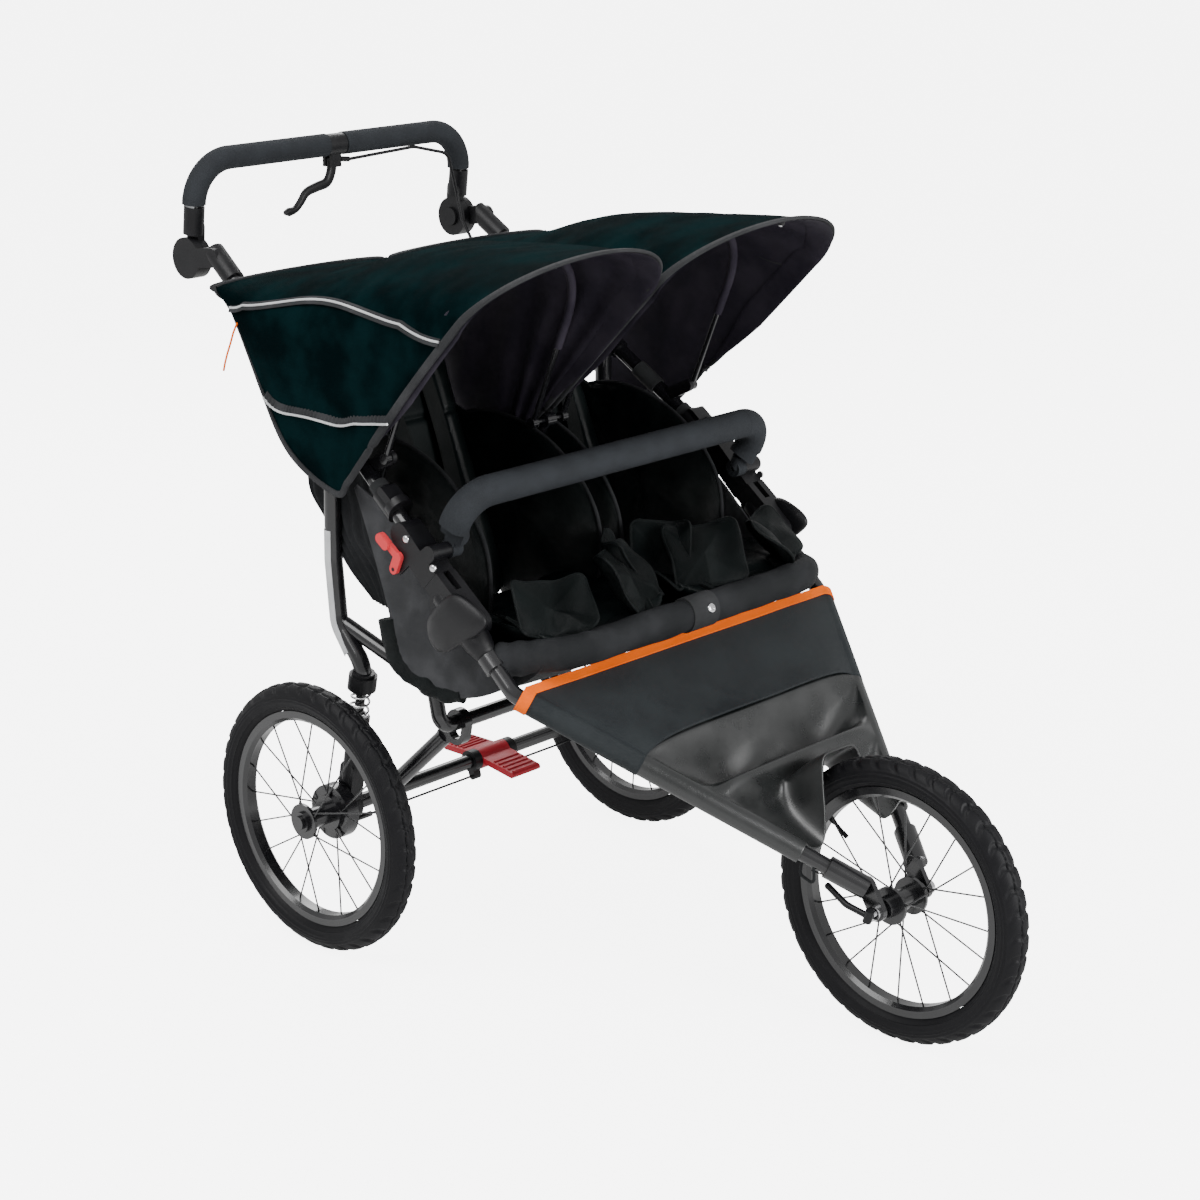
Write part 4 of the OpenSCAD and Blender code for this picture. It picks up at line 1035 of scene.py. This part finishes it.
@dataclass
class Seat:
    """One seat: backrest, side wings and seat pad, with straps and with quilting whose seams are seam mm wide."""

    name: str
    side: float
    seam: float = 3.0

    @property
    def back(self) -> Axes:
        """Frame of the backrest: up its face is y, out of its face is z."""
        return Axes((self.side * 130.0, -88.0, 462.0), 68.0, self.side)

    @property
    def pad(self) -> Axes:
        """Frame of the seat pad."""
        return Axes((self.side * 146.0, -274.0, 514.8), -4.0, self.side)

    def stitch(self, made: bpy.types.Object, axes: Axes, seams: Callable[[Array, Array], Array]) -> None:
        """Draw seams into the face of a pad, along its face's direction.

        Args:
            made: The pad.
            axes: Frame of its face.
            seams: Depth of the seams at places on the face.
        """
        local = axes.local((read(made.data) - AXLE) / MM)
        face = np.clip(local[:, 2] / 6.0, 0, 1)
        local[:, 2] -= seams(local[:, 0], local[:, 1]) * face
        write(made.data, axes.at(local[:, 0], local[:, 1], local[:, 2]) * MM + AXLE)

    def stuffed(self, name: str, grid: Array, axes: Axes, seams: Callable[[Array, Array], Array], cap: float,
                body: str) -> bpy.types.Object:
        """Make one simulated pad with seams.

        Args:
            name: Its name.
            grid: Its points before the simulation.
            axes: Frame of its face.
            seams: Depth of the seams at places on the face.
            cap: Largest move of a point in the simulation, in mm.
            body: The body that carries it.

        Returns:
            The pad.
        """
        made = piece(name, grid, Paint.LINER)
        inflate(made, cap)
        self.stitch(made, axes, seams)
        finer(made)
        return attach(made, body)

    def backrest(self) -> None:
        """Pad of the backrest with a quilted middle panel."""
        grid = pillow(box_outline(232, 416, 46) + (0, 219.4), 34, axes=self.back)

        def seams(x: Array, y: Array) -> Array:
            """Depth of two seams up the face and two across it."""
            line = ridge(np.abs(x), 66, self.seam) + ridge(y, 296, self.seam) + ridge(y, 150, self.seam)
            return 5.0 * np.minimum(line, 1.2) * (np.abs(x) < 104) * (y < 400)

        made = self.stuffed(f"back_{self.name}", grid, self.back, seams, 7, f"backrest_{self.name}")
        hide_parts(f"backrest_{self.name}")

    def wings(self) -> None:
        """Padded side wings with piped edges."""
        shape = ((14, -8), (-12, 60), (-16, 128), (2, 182), (46, 208), (96, 218), (150, 206), (204, 176), (248, 130),
                 (276, 78), (288, 28), (284, -8))
        flat = pillow(even(curve(shape, 160, True), 129)[:-1], 26)
        rim = even(curve(shape, 200), 180)
        body = f"backrest_{self.name}"
        for part, x in (("inner", -104.0), ("outer", 104.0)):
            side = Axes(tuple(self.back.at(x, 0.0, 0.0)), self.back.tilt, self.side)
            lean = 5.0 * np.sign(x)
            crease = 1.6 * ripple(flat[..., :2], 50, SEED + 41 + int(x > 0)) * (np.abs(flat[..., 2]) > 2)
            grid = side.at(flat[..., 2] + lean * (flat[..., 1] / 220) ** 2 + crease, flat[..., 0], flat[..., 1])
            soft(f"wing_{self.name}_{part}", grid, Paint.LINER, body)
            line = side.at(lean * (rim[:, 1] / 220) ** 2, rim[:, 0], rim[:, 1])
            plain(f"wing_{self.name}_{part}_piping", rings(line, 6, 6, (1, 0, 0), 10), Paint.CLOTH, body)

    def seat_pad(self) -> None:
        """Seat pad whose sides turn up."""
        flat = pillow(box_outline(264, 258, 36), 30)
        grid = self.pad.at(flat[..., 0], flat[..., 1], flat[..., 2] + 34 * np.abs(flat[..., 0] / 134) ** 5)

        def seams(x: Array, y: Array) -> Array:
            """Depth of two seams along the face and one across it."""
            line = ridge(np.abs(x), 74, self.seam) + ridge(y, 10, self.seam)
            return 4.5 * np.minimum(line, 1.2) * (np.abs(y) < 112)

        made = self.stuffed(f"pad_{self.name}", grid, self.pad, seams, 6, "front_frame")
        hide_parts(f"seat_pad_{self.name}")

    def lip(self) -> None:
        """Loose front of the liner: a padded sheet that falls over the roll in soft folds, higher at its corners."""
        v = np.linspace(-1, 1, 121)[None]
        t = np.linspace(0, 1, 48)[:, None]
        corner = np.clip((np.abs(v) - 0.50) / 0.26, 0, 1)
        corner = corner**2 * (3 - 2 * corner)
        ahead = t**2 * (3 - 2 * t)
        tall = 3.0 - 3 * np.clip((np.abs(v) - 0.72) / 0.28, 0, 1) ** 3
        x = 137 * v * (1 - 0.06 * corner * ahead)
        y = -40 - 116 * t + 52 * corner * t**2
        z = 17 + 26 * np.abs(v) ** 5 * (1 - ahead) + corner * ahead * tall - 22 * ahead * (1 - corner)
        flat = np.stack((x, y, z), axis=-1)
        z = z + ahead * (5.0 * ripple(flat, 85, SEED + 21 + int(self.side)) + 1.6 * ripple(flat, 34, SEED + 22))
        top = self.pad.at(x, y, z)
        out = facing(top)
        out *= np.sign(out[..., 2:3].mean())
        puff = 6.5 * (1 - np.abs(v) ** 10) * np.sin(math.pi * np.clip(t, 0.03, 0.97)) ** 0.4
        grid = np.concatenate((top + out * puff[..., None], (top - out * puff[..., None])[::-1]))
        soft(f"liner_lip_{self.name}", np.swapaxes(grid, 0, 1), Paint.LINER, "front_frame")
        line = np.concatenate((top[12:, 0], top[-1, 1:-1], top[12:, -1][::-1]))
        hem = rings(even(line, 240), 5.4, 5.4, (0, 0.3, 1), 10)
        plain(f"liner_hem_{self.name}", hem, Paint.LINER, "front_frame")

    def flaps(self) -> None:
        """Padded corners of the liner that stand up behind the front roll: stuffed squares bent by a square law,
        leant back and turned."""
        for part, x, y, turn, lean, wide, tall in (("outer", 92.0, -116.0, 30.0, 48.0, 104.0, 84.0),
                                                   ("inner", -74.0, -112.0, -26.0, 54.0, 110.0, 96.0),
                                                   ("rear", -116.0, -58.0, -56.0, 62.0, 84.0, 96.0)):
            flat = pillow(box_outline(wide, tall, 12), 13, 6.0)
            bend = 16 * (flat[..., 0] / wide * 2) ** 2 + 8 * ripple(flat[..., :2], 70, SEED + 51 + int(x + 120))
            local = Axes((0.0, 0.0, 0.0), lean).at(flat[..., 0], flat[..., 1] + tall * 0.42, flat[..., 2] + bend)
            c, s = math.cos(math.radians(turn)), math.sin(math.radians(turn))
            grid = self.pad.at(x + local[..., 0] * c - local[..., 1] * s, y + local[..., 0] * s + local[..., 1] * c,
                               16 + local[..., 2])
            soft(f"flap_{self.name}_{part}", grid, Paint.LINER, "front_frame")
            rim = grid[len(grid) // 2]
            cord = rings(np.vstack((rim, rim[:1])), 4.4, 4.4, (0.2, 0.3, 1), 8)
            plain(f"flap_{self.name}_{part}_piping", cord, Paint.LINER, "front_frame")

    def straps(self) -> None:
        """Two shoulder straps, arched off the face of the backrest."""
        axes = self.back
        t = np.linspace(0, 1, 60)
        across = axes.at(1.0, 0.0, 0.0) - axes.at(0.0, 0.0, 0.0)
        for part, x in (("inner", -42.0), ("outer", 42.0)):
            line = axes.at(x * (1 - 0.35 * t), 372 - 250 * t, 25 + 9 * np.sin(math.pi * t) + 5 * t)
            grid = rings(line, 26, 2.4, across, 14, 0.5)
            plain(f"strap_{self.name}_{part}", grid, Paint.STRAP, f"backrest_{self.name}")

    def build(self) -> None:
        """Make the seat."""
        self.backrest()
        self.wings()
        self.seat_pad()
        self.lip()
        self.flaps()
        self.straps()


@dataclass
class SeatTub:
    """The sling under both pads, the roll round the front bar, and the cloth at the sides."""

    half: float = 284.0

    BAR = (-422.0, 520.0)

    def tub(self) -> None:
        """Sagging sling: a closed profile carried across, a little fuller between its ends."""
        shape = ((-414, 503), (-400, 510), (-280, 500), (-152, 489), (-146, 471), (-170, 441), (-230, 429),
                 (-300, 442), (-372, 470))
        ring = even(curve(shape, 200, True), 97)[:-1]
        x = np.linspace(-self.half, self.half, 121)
        share = np.abs(x / self.half)
        pull = 1 - 0.10 * share**6
        middle = ring.mean(axis=0)
        grid = np.empty((len(x), len(ring), 3))
        grid[..., 0] = x[:, None]
        grid[..., 1:] = middle + pull[:, None, None] * (ring - middle)[None]
        low = np.clip((488 - grid[..., 2]) / 40, 0, 1)
        grid[..., 2] += low * (ripple(grid, 60, SEED + 3) * 2.5 + 2.0)
        made = soft("seat_sling", grid, Paint.CLOTH, "front_frame")
        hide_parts("seat_base")

    def roll(self) -> None:
        """Padded roll round the front bar, creased towards its ends."""
        bends = ((-303, -343, 505), (-250, *self.BAR), (250, *self.BAR), (303, -343, 505))
        line = even(rounded(bends, 60, 24), 220)
        grid = rings(line, 46, 40, (0, 0, 1), 40)
        across = grid - line[:, None]
        end = np.linspace(-1, 1, len(line))[:, None]
        fold = 1.4 * ripple(grid, 70, SEED + 5) + 1.6 * np.sin(end * 90 + 2) * np.abs(end) ** 6
        soft("front_roll", grid + unit(across) * fold[..., None], Paint.CLOTH, "front_frame")

    def sides(self) -> None:
        """Cloth between the upper tube and the sling, hanging in soft folds."""
        high = even(curve(((-66, 694), (-140, 661), (-200, 622), (-246, 582), (-300, 532), (-364, 476)), 120), 90)
        low = even(curve(((-60, 688), (-96, 600), (-126, 516), (-134, 468), (-171, 437), (-230, 427), (-296, 441),
                          (-360, 471)), 160), 90)
        t = np.linspace(0, 1, 70)[:, None, None]
        flat = high[None] * (1 - t) + low[None] * t
        sag = np.sin(math.pi * t[..., 0]) ** 0.8
        puff = 4.0 * sag * ripple(flat, 110, SEED + 8) + 1.5 * sag * ripple(flat, 40, SEED + 9)
        x = 297.6 + puff
        for side, name in SIDES:
            grid = np.concatenate((side * x[..., None], flat), axis=-1)
            made = piece(f"side_cloth_{name}", grid, Paint.SIDE, ring=False, outward=(side, 0, 0))
            thicken(made, 1.6)
            if name == "left":
                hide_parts("side_panels")
            cloth_sheet(grid)
            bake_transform(made)

    def patch(self) -> None:
        """Webbing and press stud round the middle of the roll."""
        line = np.linspace((-26, *self.BAR), (26, *self.BAR), 24)
        plain("roll_webbing", rings(line, 50, 44, (0, 0, 1), 48), Paint.WEBBING, "front_frame")
        profile = ((7.0, -1.0), (7.0, 1.0), (5.6, 2.2), (3.4, 2.4), (3.0, 1.8), (0.1, 1.8))
        way = np.array((0.0, -0.94, 0.34))
        base = np.array((8.0, *self.BAR)) + way * 22.5
        plain("roll_stud", lathe(profile, base, way), Paint.CHROME, "front_frame")

    def skirts(self) -> None:
        """Crumpled cloth that hangs from the back of each hood to the seat, gathered in deep folds."""
        t = np.linspace(0, 1, 90)[:, None]
        u = np.linspace(0, 1, 120)[None]
        y = (80 - 170 * u) * (1 - t) + (-52 - 60 * u) * t + 34 * np.sin(math.pi * t) * (1 - u)
        z = (748 - 40 * np.sin(math.pi * u) - 10 * u) * (1 - t) + (520 - 4 * u) * t
        place = np.stack(np.broadcast_arrays(y, z), axis=-1)
        deep = np.sin(u * 44 + 3 * np.sin(t * 4)) * (1 - 0.5 * t) * 3.5
        x = 272 - 6 * t + deep + 6 * ripple(place, 60, SEED + 31)
        for side, name in SIDES:
            grid = np.stack(np.broadcast_arrays(side * x, y, z), axis=-1)
            made = piece(f"skirt_{name}", grid, Paint.CLOTH, ring=False, outward=(side, 0, 0))
            thicken(made, 1.4)
            cloth_sheet(grid)
            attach(made, "chassis")

    def pouches(self) -> None:
        """Elastic gathers at the low rear corner of each side: a roll of cloth drawn up in tight folds."""
        line = even(curve(((-118, 512), (-128, 472), (-160, 440), (-212, 428), (-262, 434)), 120), 150)
        run = np.linspace(0, 1, len(line))[:, None]
        turn = np.linspace(0, TURN, 36, endpoint=False)[None]
        crimp = 0.4 * np.sin(run * 61 + 2.5 * np.sin(turn * 2 + run * 9))
        for side, name in SIDES:
            path = np.column_stack((np.full(len(line), side * 292.0), line))
            grid = rings(path, 26 - 10 * run[:, 0], 34 - 12 * run[:, 0], (1, 0, 0), turn.size)
            fold = 3.4 * ripple(grid * (1, 2.0, 2.0), 64, SEED + 33) + crimp
            grid = grid + unit(grid - path[:, None]) * (fold * np.sin(math.pi * run) ** 0.5)[..., None]
            soft(f"gather_{name}", grid, Paint.LINER, "front_frame")

    def build(self) -> None:
        """Make sling, roll, sides, skirts and gathers."""
        self.tub()
        self.roll()
        self.patch()
        self.sides()
        self.skirts()
        self.pouches()


@dataclass
class FrontDeck:
    """Front panel, its orange trim with a painted glow, and the moulded footrest, which all wrap the lower tubes.

    head, foot and radius are those of the left lower tube; the arch keeps the footrest clear of the front wheel.
    """

    head: tuple[float, float, float] = (318.0, -385.0, 472.0)
    foot: tuple[float, float, float] = (58.0, -765.0, 232.0)
    radius: float = 11.7
    arch_y: float = -785.0
    arch_z: float = 203.5
    arch_r: float = 213.5

    PROFILE = ((-490, -6), (-506, 2), (-516, 8), (-524, 8), (-532, -8), (-541, -22), (-556, -27), (-574, -20),
               (-588, -1), (-598, 11), (-606, 10), (-613, -6), (-623, -21), (-645, -26), (-700, -16))

    def square(self) -> tuple[Array, Array]:
        """Outward and upward directions square to the tube.

        Returns:
            Both directions.
        """
        run = unit(np.subtract(self.foot, self.head))
        out = unit(np.cross((0, 0, 1), run))
        return out, unit(np.cross(run, out))

    def on(self, y: Array) -> Array:
        """Points of the tube's middle line at each y."""
        share = (np.asarray(y, float) - self.head[1]) / (self.foot[1] - self.head[1])
        return np.asarray(self.head) + share[..., None] * np.subtract(self.foot, self.head)

    def wrap(self, y: Array, r: Union[float, Array], low: float, count: int) -> Array:
        """Arcs round the tube from the angle low to its top, one a row.

        Args:
            y: Where each arc lies on the tube.
            r: Radius of the arcs.
            low: First angle in degrees.
            count: Points in an arc.

        Returns:
            Grid of points.
        """
        out, up = self.square()
        a = np.radians(np.linspace(low, 90, count))
        ring = np.cos(a)[:, None] * out + np.sin(a)[:, None] * up
        r = np.broadcast_to(np.asarray(r, float), np.shape(y))
        return self.on(y)[:, None] + r[:, None, None] * ring[None]

    def span(self, y: Array, r: float, low: float, mid: Array) -> Array:
        """Join both wraps with the points in between."""
        arc = self.wrap(y, r, low, 16)
        return np.concatenate((arc * (-1, 1, 1), mid, arc[:, ::-1]), axis=1)

    def strip(self, name: str, rear: float, front: float, r: float, finish: Finish, node: str, sag: float,
              lift: float = 0.0) -> None:
        """Lay a cloth strip from tube to tube.

        Args:
            name: Its name.
            rear: Where it starts on the tubes, as y.
            front: Where it ends.
            r: Its distance from the tubes' middle lines.
            finish: Its finish.
            node: The CAD node that it stands for.
            sag: Depth of its sag.
            lift: How far its front edge is lifted over what lies below.
        """
        t = np.linspace(0, 1, 40)[:, None]
        y = np.linspace(rear, front, len(t))
        top = self.wrap(y, r, 90, 1)
        f = np.linspace(-1, 1, 82)[None, 1:-1]
        mid = np.stack(np.broadcast_arrays(top[..., 0] * f, top[..., 1], top[..., 2]), axis=-1)
        dip = sag * np.sin(math.pi * t) * (1 - f**4) - lift * t**3 * (1 - f**8)
        mid[..., 2] -= dip + sag * 0.25 * ripple(mid, 90, SEED + 12) * (1 - f**6)
        grid = self.span(y, r, -60, mid)
        made = piece(name, grid, finish, ring=False, outward=(0, -0.5, 1))
        thicken(made, 2.2)
        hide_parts(node)
        cloth_sheet(grid)
        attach(made, "front_frame")

    def footrest(self) -> None:
        """Moulded deck: a profile that drops behind the cloth, climbs to a ledge and falls away again is carried from
        tube to tube; two wells deepen it, and a steep-sided hump keeps it clear of the wheel."""
        y = np.linspace(-496, -698, 170)
        r = self.radius + 4
        top = self.wrap(y, r, 90, 1)
        f = np.linspace(-1, 1, 241)[1:-1][None]
        fall = curve(self.PROFILE, 300)[::-1]
        height = np.interp(y, fall[:, 0], fall[:, 1])[:, None] * (1 - f**8)
        x = f * top[..., 0]
        near = 1 / (1 + np.exp((np.abs(x) - 48) / 5))
        ahead = np.clip((-600 - y[:, None]) / 98, 0, 1)
        yy = top[..., 1] + 30 * ahead**2 * near
        well = 26 * bump(np.abs(f) - 0.46, 0.42) * bump(y[:, None] + 558, 42)
        base = top[..., 2] + height - well
        arch = self.arch_z + np.sqrt(np.maximum(self.arch_r**2 - (yy - self.arch_y) ** 2, 0))
        mid = np.stack((x, yy, base + np.maximum(0, arch - base) * near), axis=-1)
        grid = self.span(y, r, -50, mid)
        made = piece("deck", grid, Paint.SHELL, ring=False, outward=(0, -0.5, 1))
        thicken(made, 3.6)
        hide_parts("footrest")
        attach(made, "front_frame")

    def build(self) -> None:
        """Make panel, trim and footrest."""
        self.strip("front_cloth", -394, -524, 16.2, Paint.PANEL, "front_panel", 3.0, 17.0)
        # Orange trim, with a painted glow.
        self.strip("front_trim", -391.5, -403.5, 17.6, Paint.ORANGE, "panel_trim", 0.6)
        self.footrest()


@dataclass
class Wheel:
    """A tyre with a moulded tread, and the valve.

    valve is the valve's angle in degrees, middle and section are the tyre's two radii, rim is the valve's foot, and
    blocks is the number of blocks round the tread.
    """

    name: str
    centre: tuple[float, float, float]
    valve: float
    middle: float = 177.0
    section: float = 21.1
    rim: float = 145.0
    blocks: int = 40

    def tyre(self) -> None:
        """A ring of round section whose tread is cut by a wave that runs round and bends across, with raised beads on
        its sides."""
        turn = np.linspace(0, TURN, 900, endpoint=False)[:, None]
        a = np.radians(np.linspace(-146, 146, 84))[None]
        crown = 1 / (1 + np.exp((np.abs(a) - 1.05) * 14))
        bend = 2.4 * np.sin(2.2 * np.abs(a) + 0.4)
        wave = np.tanh(5.0 * (np.cos(self.blocks * turn + bend) - 0.62))
        groove = ridge(np.abs(a) - 0.05 * np.sin(44 * turn), 0.30, 0.045)
        bead = sum(ridge(np.abs(a), k, 0.045) for k in (1.30, 1.50, 1.72, 2.05))
        section = self.section + crown * (-1.1 * (1 + wave) - 1.8 * groove) + 0.9 * bead
        radius = self.middle + section * np.cos(a)
        x = np.broadcast_to(section * np.sin(a), radius.shape)
        grid = np.stack((x, radius * np.cos(turn), radius * np.sin(turn)), axis=-1) + self.centre
        made = piece(f"{self.name}_tread", np.swapaxes(grid, 0, 1), Paint.TYRE, ring=True, loop=True)
        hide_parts(f"{self.name}_tyre")
        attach(made, f"{self.name}_wheel")

    def stem(self) -> None:
        """The valve on the rim."""
        a = math.radians(self.valve)
        into = np.array((0.0, -math.cos(a), -math.sin(a)))
        base = np.asarray(self.centre) - into * self.rim
        profile = ((0.1, 0), (4, 0), (3.6, 6), (2.6, 10), (2.6, 24), (3.3, 24.5), (3.3, 33), (0.1, 34))
        plain(f"{self.name}_valve", lathe(profile, base, into, 20), Paint.TYRE, f"{self.name}_wheel", 30)

    def build(self) -> None:
        """Make the tyre and its valve."""
        self.tyre()
        self.stem()


@dataclass
class Fittings:
    """Springs, screws, shells, strips, loops, lever blade and pull cord on the frame.

    strip is the radius of the reflective strips, and face is how far out the fold joints' outer faces are.
    """

    strip: float = 12.75
    face: float = 336.0

    LEG = ((275, 8, 778), (275, 13, 566), (275, 5, 474), (275, -42.3, 408.8))

    def springs(self) -> None:
        """Coil springs of the rear suspension: a helix with closed ends round each strut."""
        way = np.array((0.0, -0.1975, 0.9803))
        flat = np.array((0.0, 0.9803, 0.1975))
        t = np.linspace(0, 1, 320)
        ends = np.clip((t - 0.92) / 0.08, 0, 1) - np.clip((0.08 - t) / 0.08, 0, 1)
        turn = TURN * (3.5 * t + 0.9 * ends)[:, None]
        coil = 13 * (np.cos(turn) * (1.0, 0, 0) + np.sin(turn) * flat)
        height = 149.9 + 40.2 * np.clip((t - 0.08) / 0.84, 0, 1)
        for side, name in SIDES:
            base = np.array((275.0 * side, 0.0, HUB))
            line = base + way * height[:, None] + coil
            made = piece(f"spring_{name}", rings(line, 3.6, 3.6, way, 14), Paint.CHROME)
            if name == "left":
                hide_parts("strut_springs")
            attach(made, "chassis")
            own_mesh(made)

    def screws(self) -> None:
        """Domed chrome screws on the fold joints."""
        profile = ((5.5, -1.5), (5.5, 0.6), (4.6, 2.0), (2.8, 2.9), (0.1, 3.2))
        for k, (y, z) in enumerate(((-204, 651), (-255, 621), (-185, 608))):
            for side, name in SIDES:
                grid = lathe(profile, (side * self.face, y, z), (side, 0, 0), 28)
                plain(f"screw_{k}_{name[0]}", grid, Paint.CHROME, "chassis")

    def noses(self) -> None:
        """Smooth sleeves with a conical nose where the lower tubes leave the fold joints, and domed shells there."""
        sleeve = ((0.1, -58), (14, -57), (19.6, -48), (20.6, -20), (20.6, 20), (19.4, 34), (15.4, 50), (13.0, 55),
                  (11.8, 56))
        shell = ((-246, 555), (-287, 592), (-330, 584), (-350, 566), (-334, 545), (-298, 522), (-273, 507),
                 (-252, 509), (-240, 529))
        flat = pillow(even(curve(shell, 160, True), 121)[:-1], 24, 3.0)
        for side, name in SIDES:
            grid = lathe(sleeve, (side * 318.0, -296.2, 549.3), (0, -0.756, -0.654), 40)
            plain(f"fold_nose_{name}", grid, Paint.MOULDING, "front_frame", 70)
            grid = np.stack((side * (332 + flat[..., 2]), flat[..., 0], flat[..., 1]), axis=-1)
            plain(f"fold_cap_{name}", grid, Paint.MOULDING, "front_frame")

    def handle_strips(self) -> None:
        """Reflective strips on the outer sides of the handle's feet."""
        z = np.linspace(998, 1040, 24)
        y = np.interp(z, (990, 1094), (311, 303))
        a = np.radians(np.linspace(-52, 52, 14))
        for side, name in SIDES:
            path = np.column_stack((np.full(len(z), side * 261.6), y, z))
            ring = np.stack((side * np.cos(a), np.sin(a), 0 * a), axis=-1)
            grid = path[:, None] + self.strip * ring[None]
            made = piece(f"handle_strip_{name}", grid, Paint.SILVER, ring=False, outward=(side, 0, 0))
            thicken(made, 0.6, offset=1.0)
            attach(made, "handle")

    def leg_strips(self) -> None:
        """Reflective strips on the rear legs: part rings round the bent tube, on its outer rear side."""
        line = even(rounded(self.LEG, 40, 16), 300)
        line = line[(line[:, 2] < 612) & (line[:, 2] > 436)]
        a = np.radians(np.linspace(-46, 46, 14))[:, None]
        for side, name in SIDES:
            path = line * (side, 1, 1)
            out = np.array((side, 0, 0))
            across = unit(np.cross(unit(np.gradient(path, axis=0)), out))
            rear = -across if across[0, 1] < 0 else across
            ring = np.cos(a) * (0.96 * out + 0.28 * rear)[:, None] + np.sin(a) * (0.28 * out - 0.96 * rear)[:, None]
            grid = path[:, None] + self.strip * ring
            made = piece(f"leg_strip_{name}", grid, Paint.SILVER, ring=False, outward=(side * 0.4, 1, 0))
            thicken(made, 0.6, offset=1.0)
            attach(made, "chassis")

    def loops(self) -> None:
        """Webbing loops round the upper tubes that carry the seat cloth."""
        foot, head = np.array((318.0, -205, 647)), np.array((262.0, 258, 963))
        run = unit(head - foot)
        for side, name in SIDES:
            for k, y in enumerate((-138.0, -60.0)):
                mid = foot + (head - foot) * (y - foot[1]) / (head[1] - foot[1])
                line = np.stack([mid + run * d for d in np.linspace(-22, 22, 20)]) * (side, 1, 1)
                grid = rings(line, 26.5, 26.5, (side, 0, 0), 36)
                plain(f"tube_loop_{name}_{k}", grid, Paint.WEBBING, "chassis")

    def pull(self) -> None:
        """The orange pull cord on one hood."""
        points = ((-327, 141, 893), (-329, 148, 878), (-330, 154, 862), (-331, 160, 848), (-331, 166, 834),
                  (-331, 170, 822))
        thick = 0.003
        line = np.asarray(points) * MM + AXLE
        data = bpy.data.curves.new("pull_cord", "CURVE")
        data.dimensions = "3D"
        data.bevel_depth = thick / 2
        data.bevel_resolution = 4
        data.use_fill_caps = True
        spline = data.splines.new("POLY")
        spline.points.add(len(line) - 1)
        spline.points.foreach_set("co", np.hstack((line, np.ones((len(line), 1)))).ravel())
        # The orange cord carries the finish's painted glow.
        data.materials.append(Paint.ORANGE.material())
        made = bpy.data.objects.new("pull_cord", data)
        bpy.context.scene.collection.objects.link(made)
        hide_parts("hood_pull")
        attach(made, "chassis")
        LOG.info("piece pull_cord: %d points", len(line))

    def lever(self) -> None:
        """Moulded blade over the brake lever: rings that narrow along a smooth line and swell at its tip."""
        points = ((0, 307, 1068), (-3, 307, 1052), (-12, 307, 1038), (-32, 307, 1033), (-52, 307, 1027),
                  (-64, 307, 1014), (-76, 307, 1004), (-94, 307, 1001))
        line = even(curve(points, 160), 100)
        wide = np.interp(np.linspace(0, 1, len(line)), (0, 0.15, 0.5, 0.86, 0.95, 1), (17, 16, 14, 10.5, 13, 7))
        made = piece("lever_blade", rings(line, 9.6, wide, (0, 1, 0), 24, 0.8), Paint.MOULDING)
        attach(made, "brake_lever")

    def build(self) -> None:
        """Make all fittings."""
        self.pull()
        self.lever()
        self.springs()
        self.screws()
        self.noses()
        self.leg_strips()
        self.handle_strips()
        self.loops()


class Dress:
    """Finishes of the CAD nodes that stay in view."""

    NODES: dict[Finish, str] = {
        Paint.TUBE: "upper_tubes rear_legs lower_tubes axle_tube handle_tube under_seat_bar centre_post seat_front_bar"
                    " fork_ends swing_arms back_hinge_rod hood_bow_left hood_bow_right brake_rod front_hub left_hub"
                    " right_hub front_rim left_rim right_rim",
        Paint.MOULDING: "fold_brackets spring_collars handle_hinges hood_brackets fold_covers uprights brake_plates"
                        " pedal_clamps handle_knuckles lever_clamp quick_release"
                        " hinge_button_left hinge_button_right fold_catch_left fold_catch_right brake_lever"
                        " brake_cable footrest",
        Paint.CHROME: "strut_springs fold_pins skewer",
        Paint.RED: "safety_catch",
        Paint.MAROON: "brake_pedal",
        Paint.FOAM: "handle_foam bumper_bar",
        Paint.TYRE: "front_tyre left_tyre right_tyre",
        Paint.CLOTH: "side_panels seat_base fold_loop",
        Paint.LINER: "seat_pad_left seat_pad_right backrest_left backrest_right",
        Paint.HOOD: "hood_left hood_right",
        Paint.PANEL: "front_panel",
        # panel_trim and hood_pull get the orange finish with its painted glow.
        Paint.ORANGE: "panel_trim hood_pull",
    }

    @classmethod
    def apply(cls, nodes: dict[str, bpy.types.Object]) -> None:
        """Give every node its finish.

        Args:
            nodes: The CAD nodes by name.
        """
        for finish, names in cls.NODES.items():
            for name in names.split():
                made = nodes[name]
                if not made.material_slots:
                    made.data.materials.append(finish.material())
                for slot in made.material_slots:
                    slot.material = finish.material()
        missing = set(nodes) - set(" ".join(cls.NODES.values()).split())
        if missing:
            LOG.warning("nodes without a finish: %s", sorted(missing))


def main() -> None:
    """Build the scene."""
    logging.basicConfig(level=logging.INFO)
    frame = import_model()
    Studio().build()
    Fittings().build()
    Dress.apply(frame["nodes"])
    for side, name in SIDES:
        Hood(name, side).build()
        Seat(name, side).build()
    SeatTub().build()
    FrontDeck().build()
    Wheel("front", (0.0, -785.0, HUB), 35.0).build()
    for side, name in SIDES:
        Wheel(name, (side * 334.0, 0.0, HUB), 150.0).build()


if __name__ == "__main__":
    main()
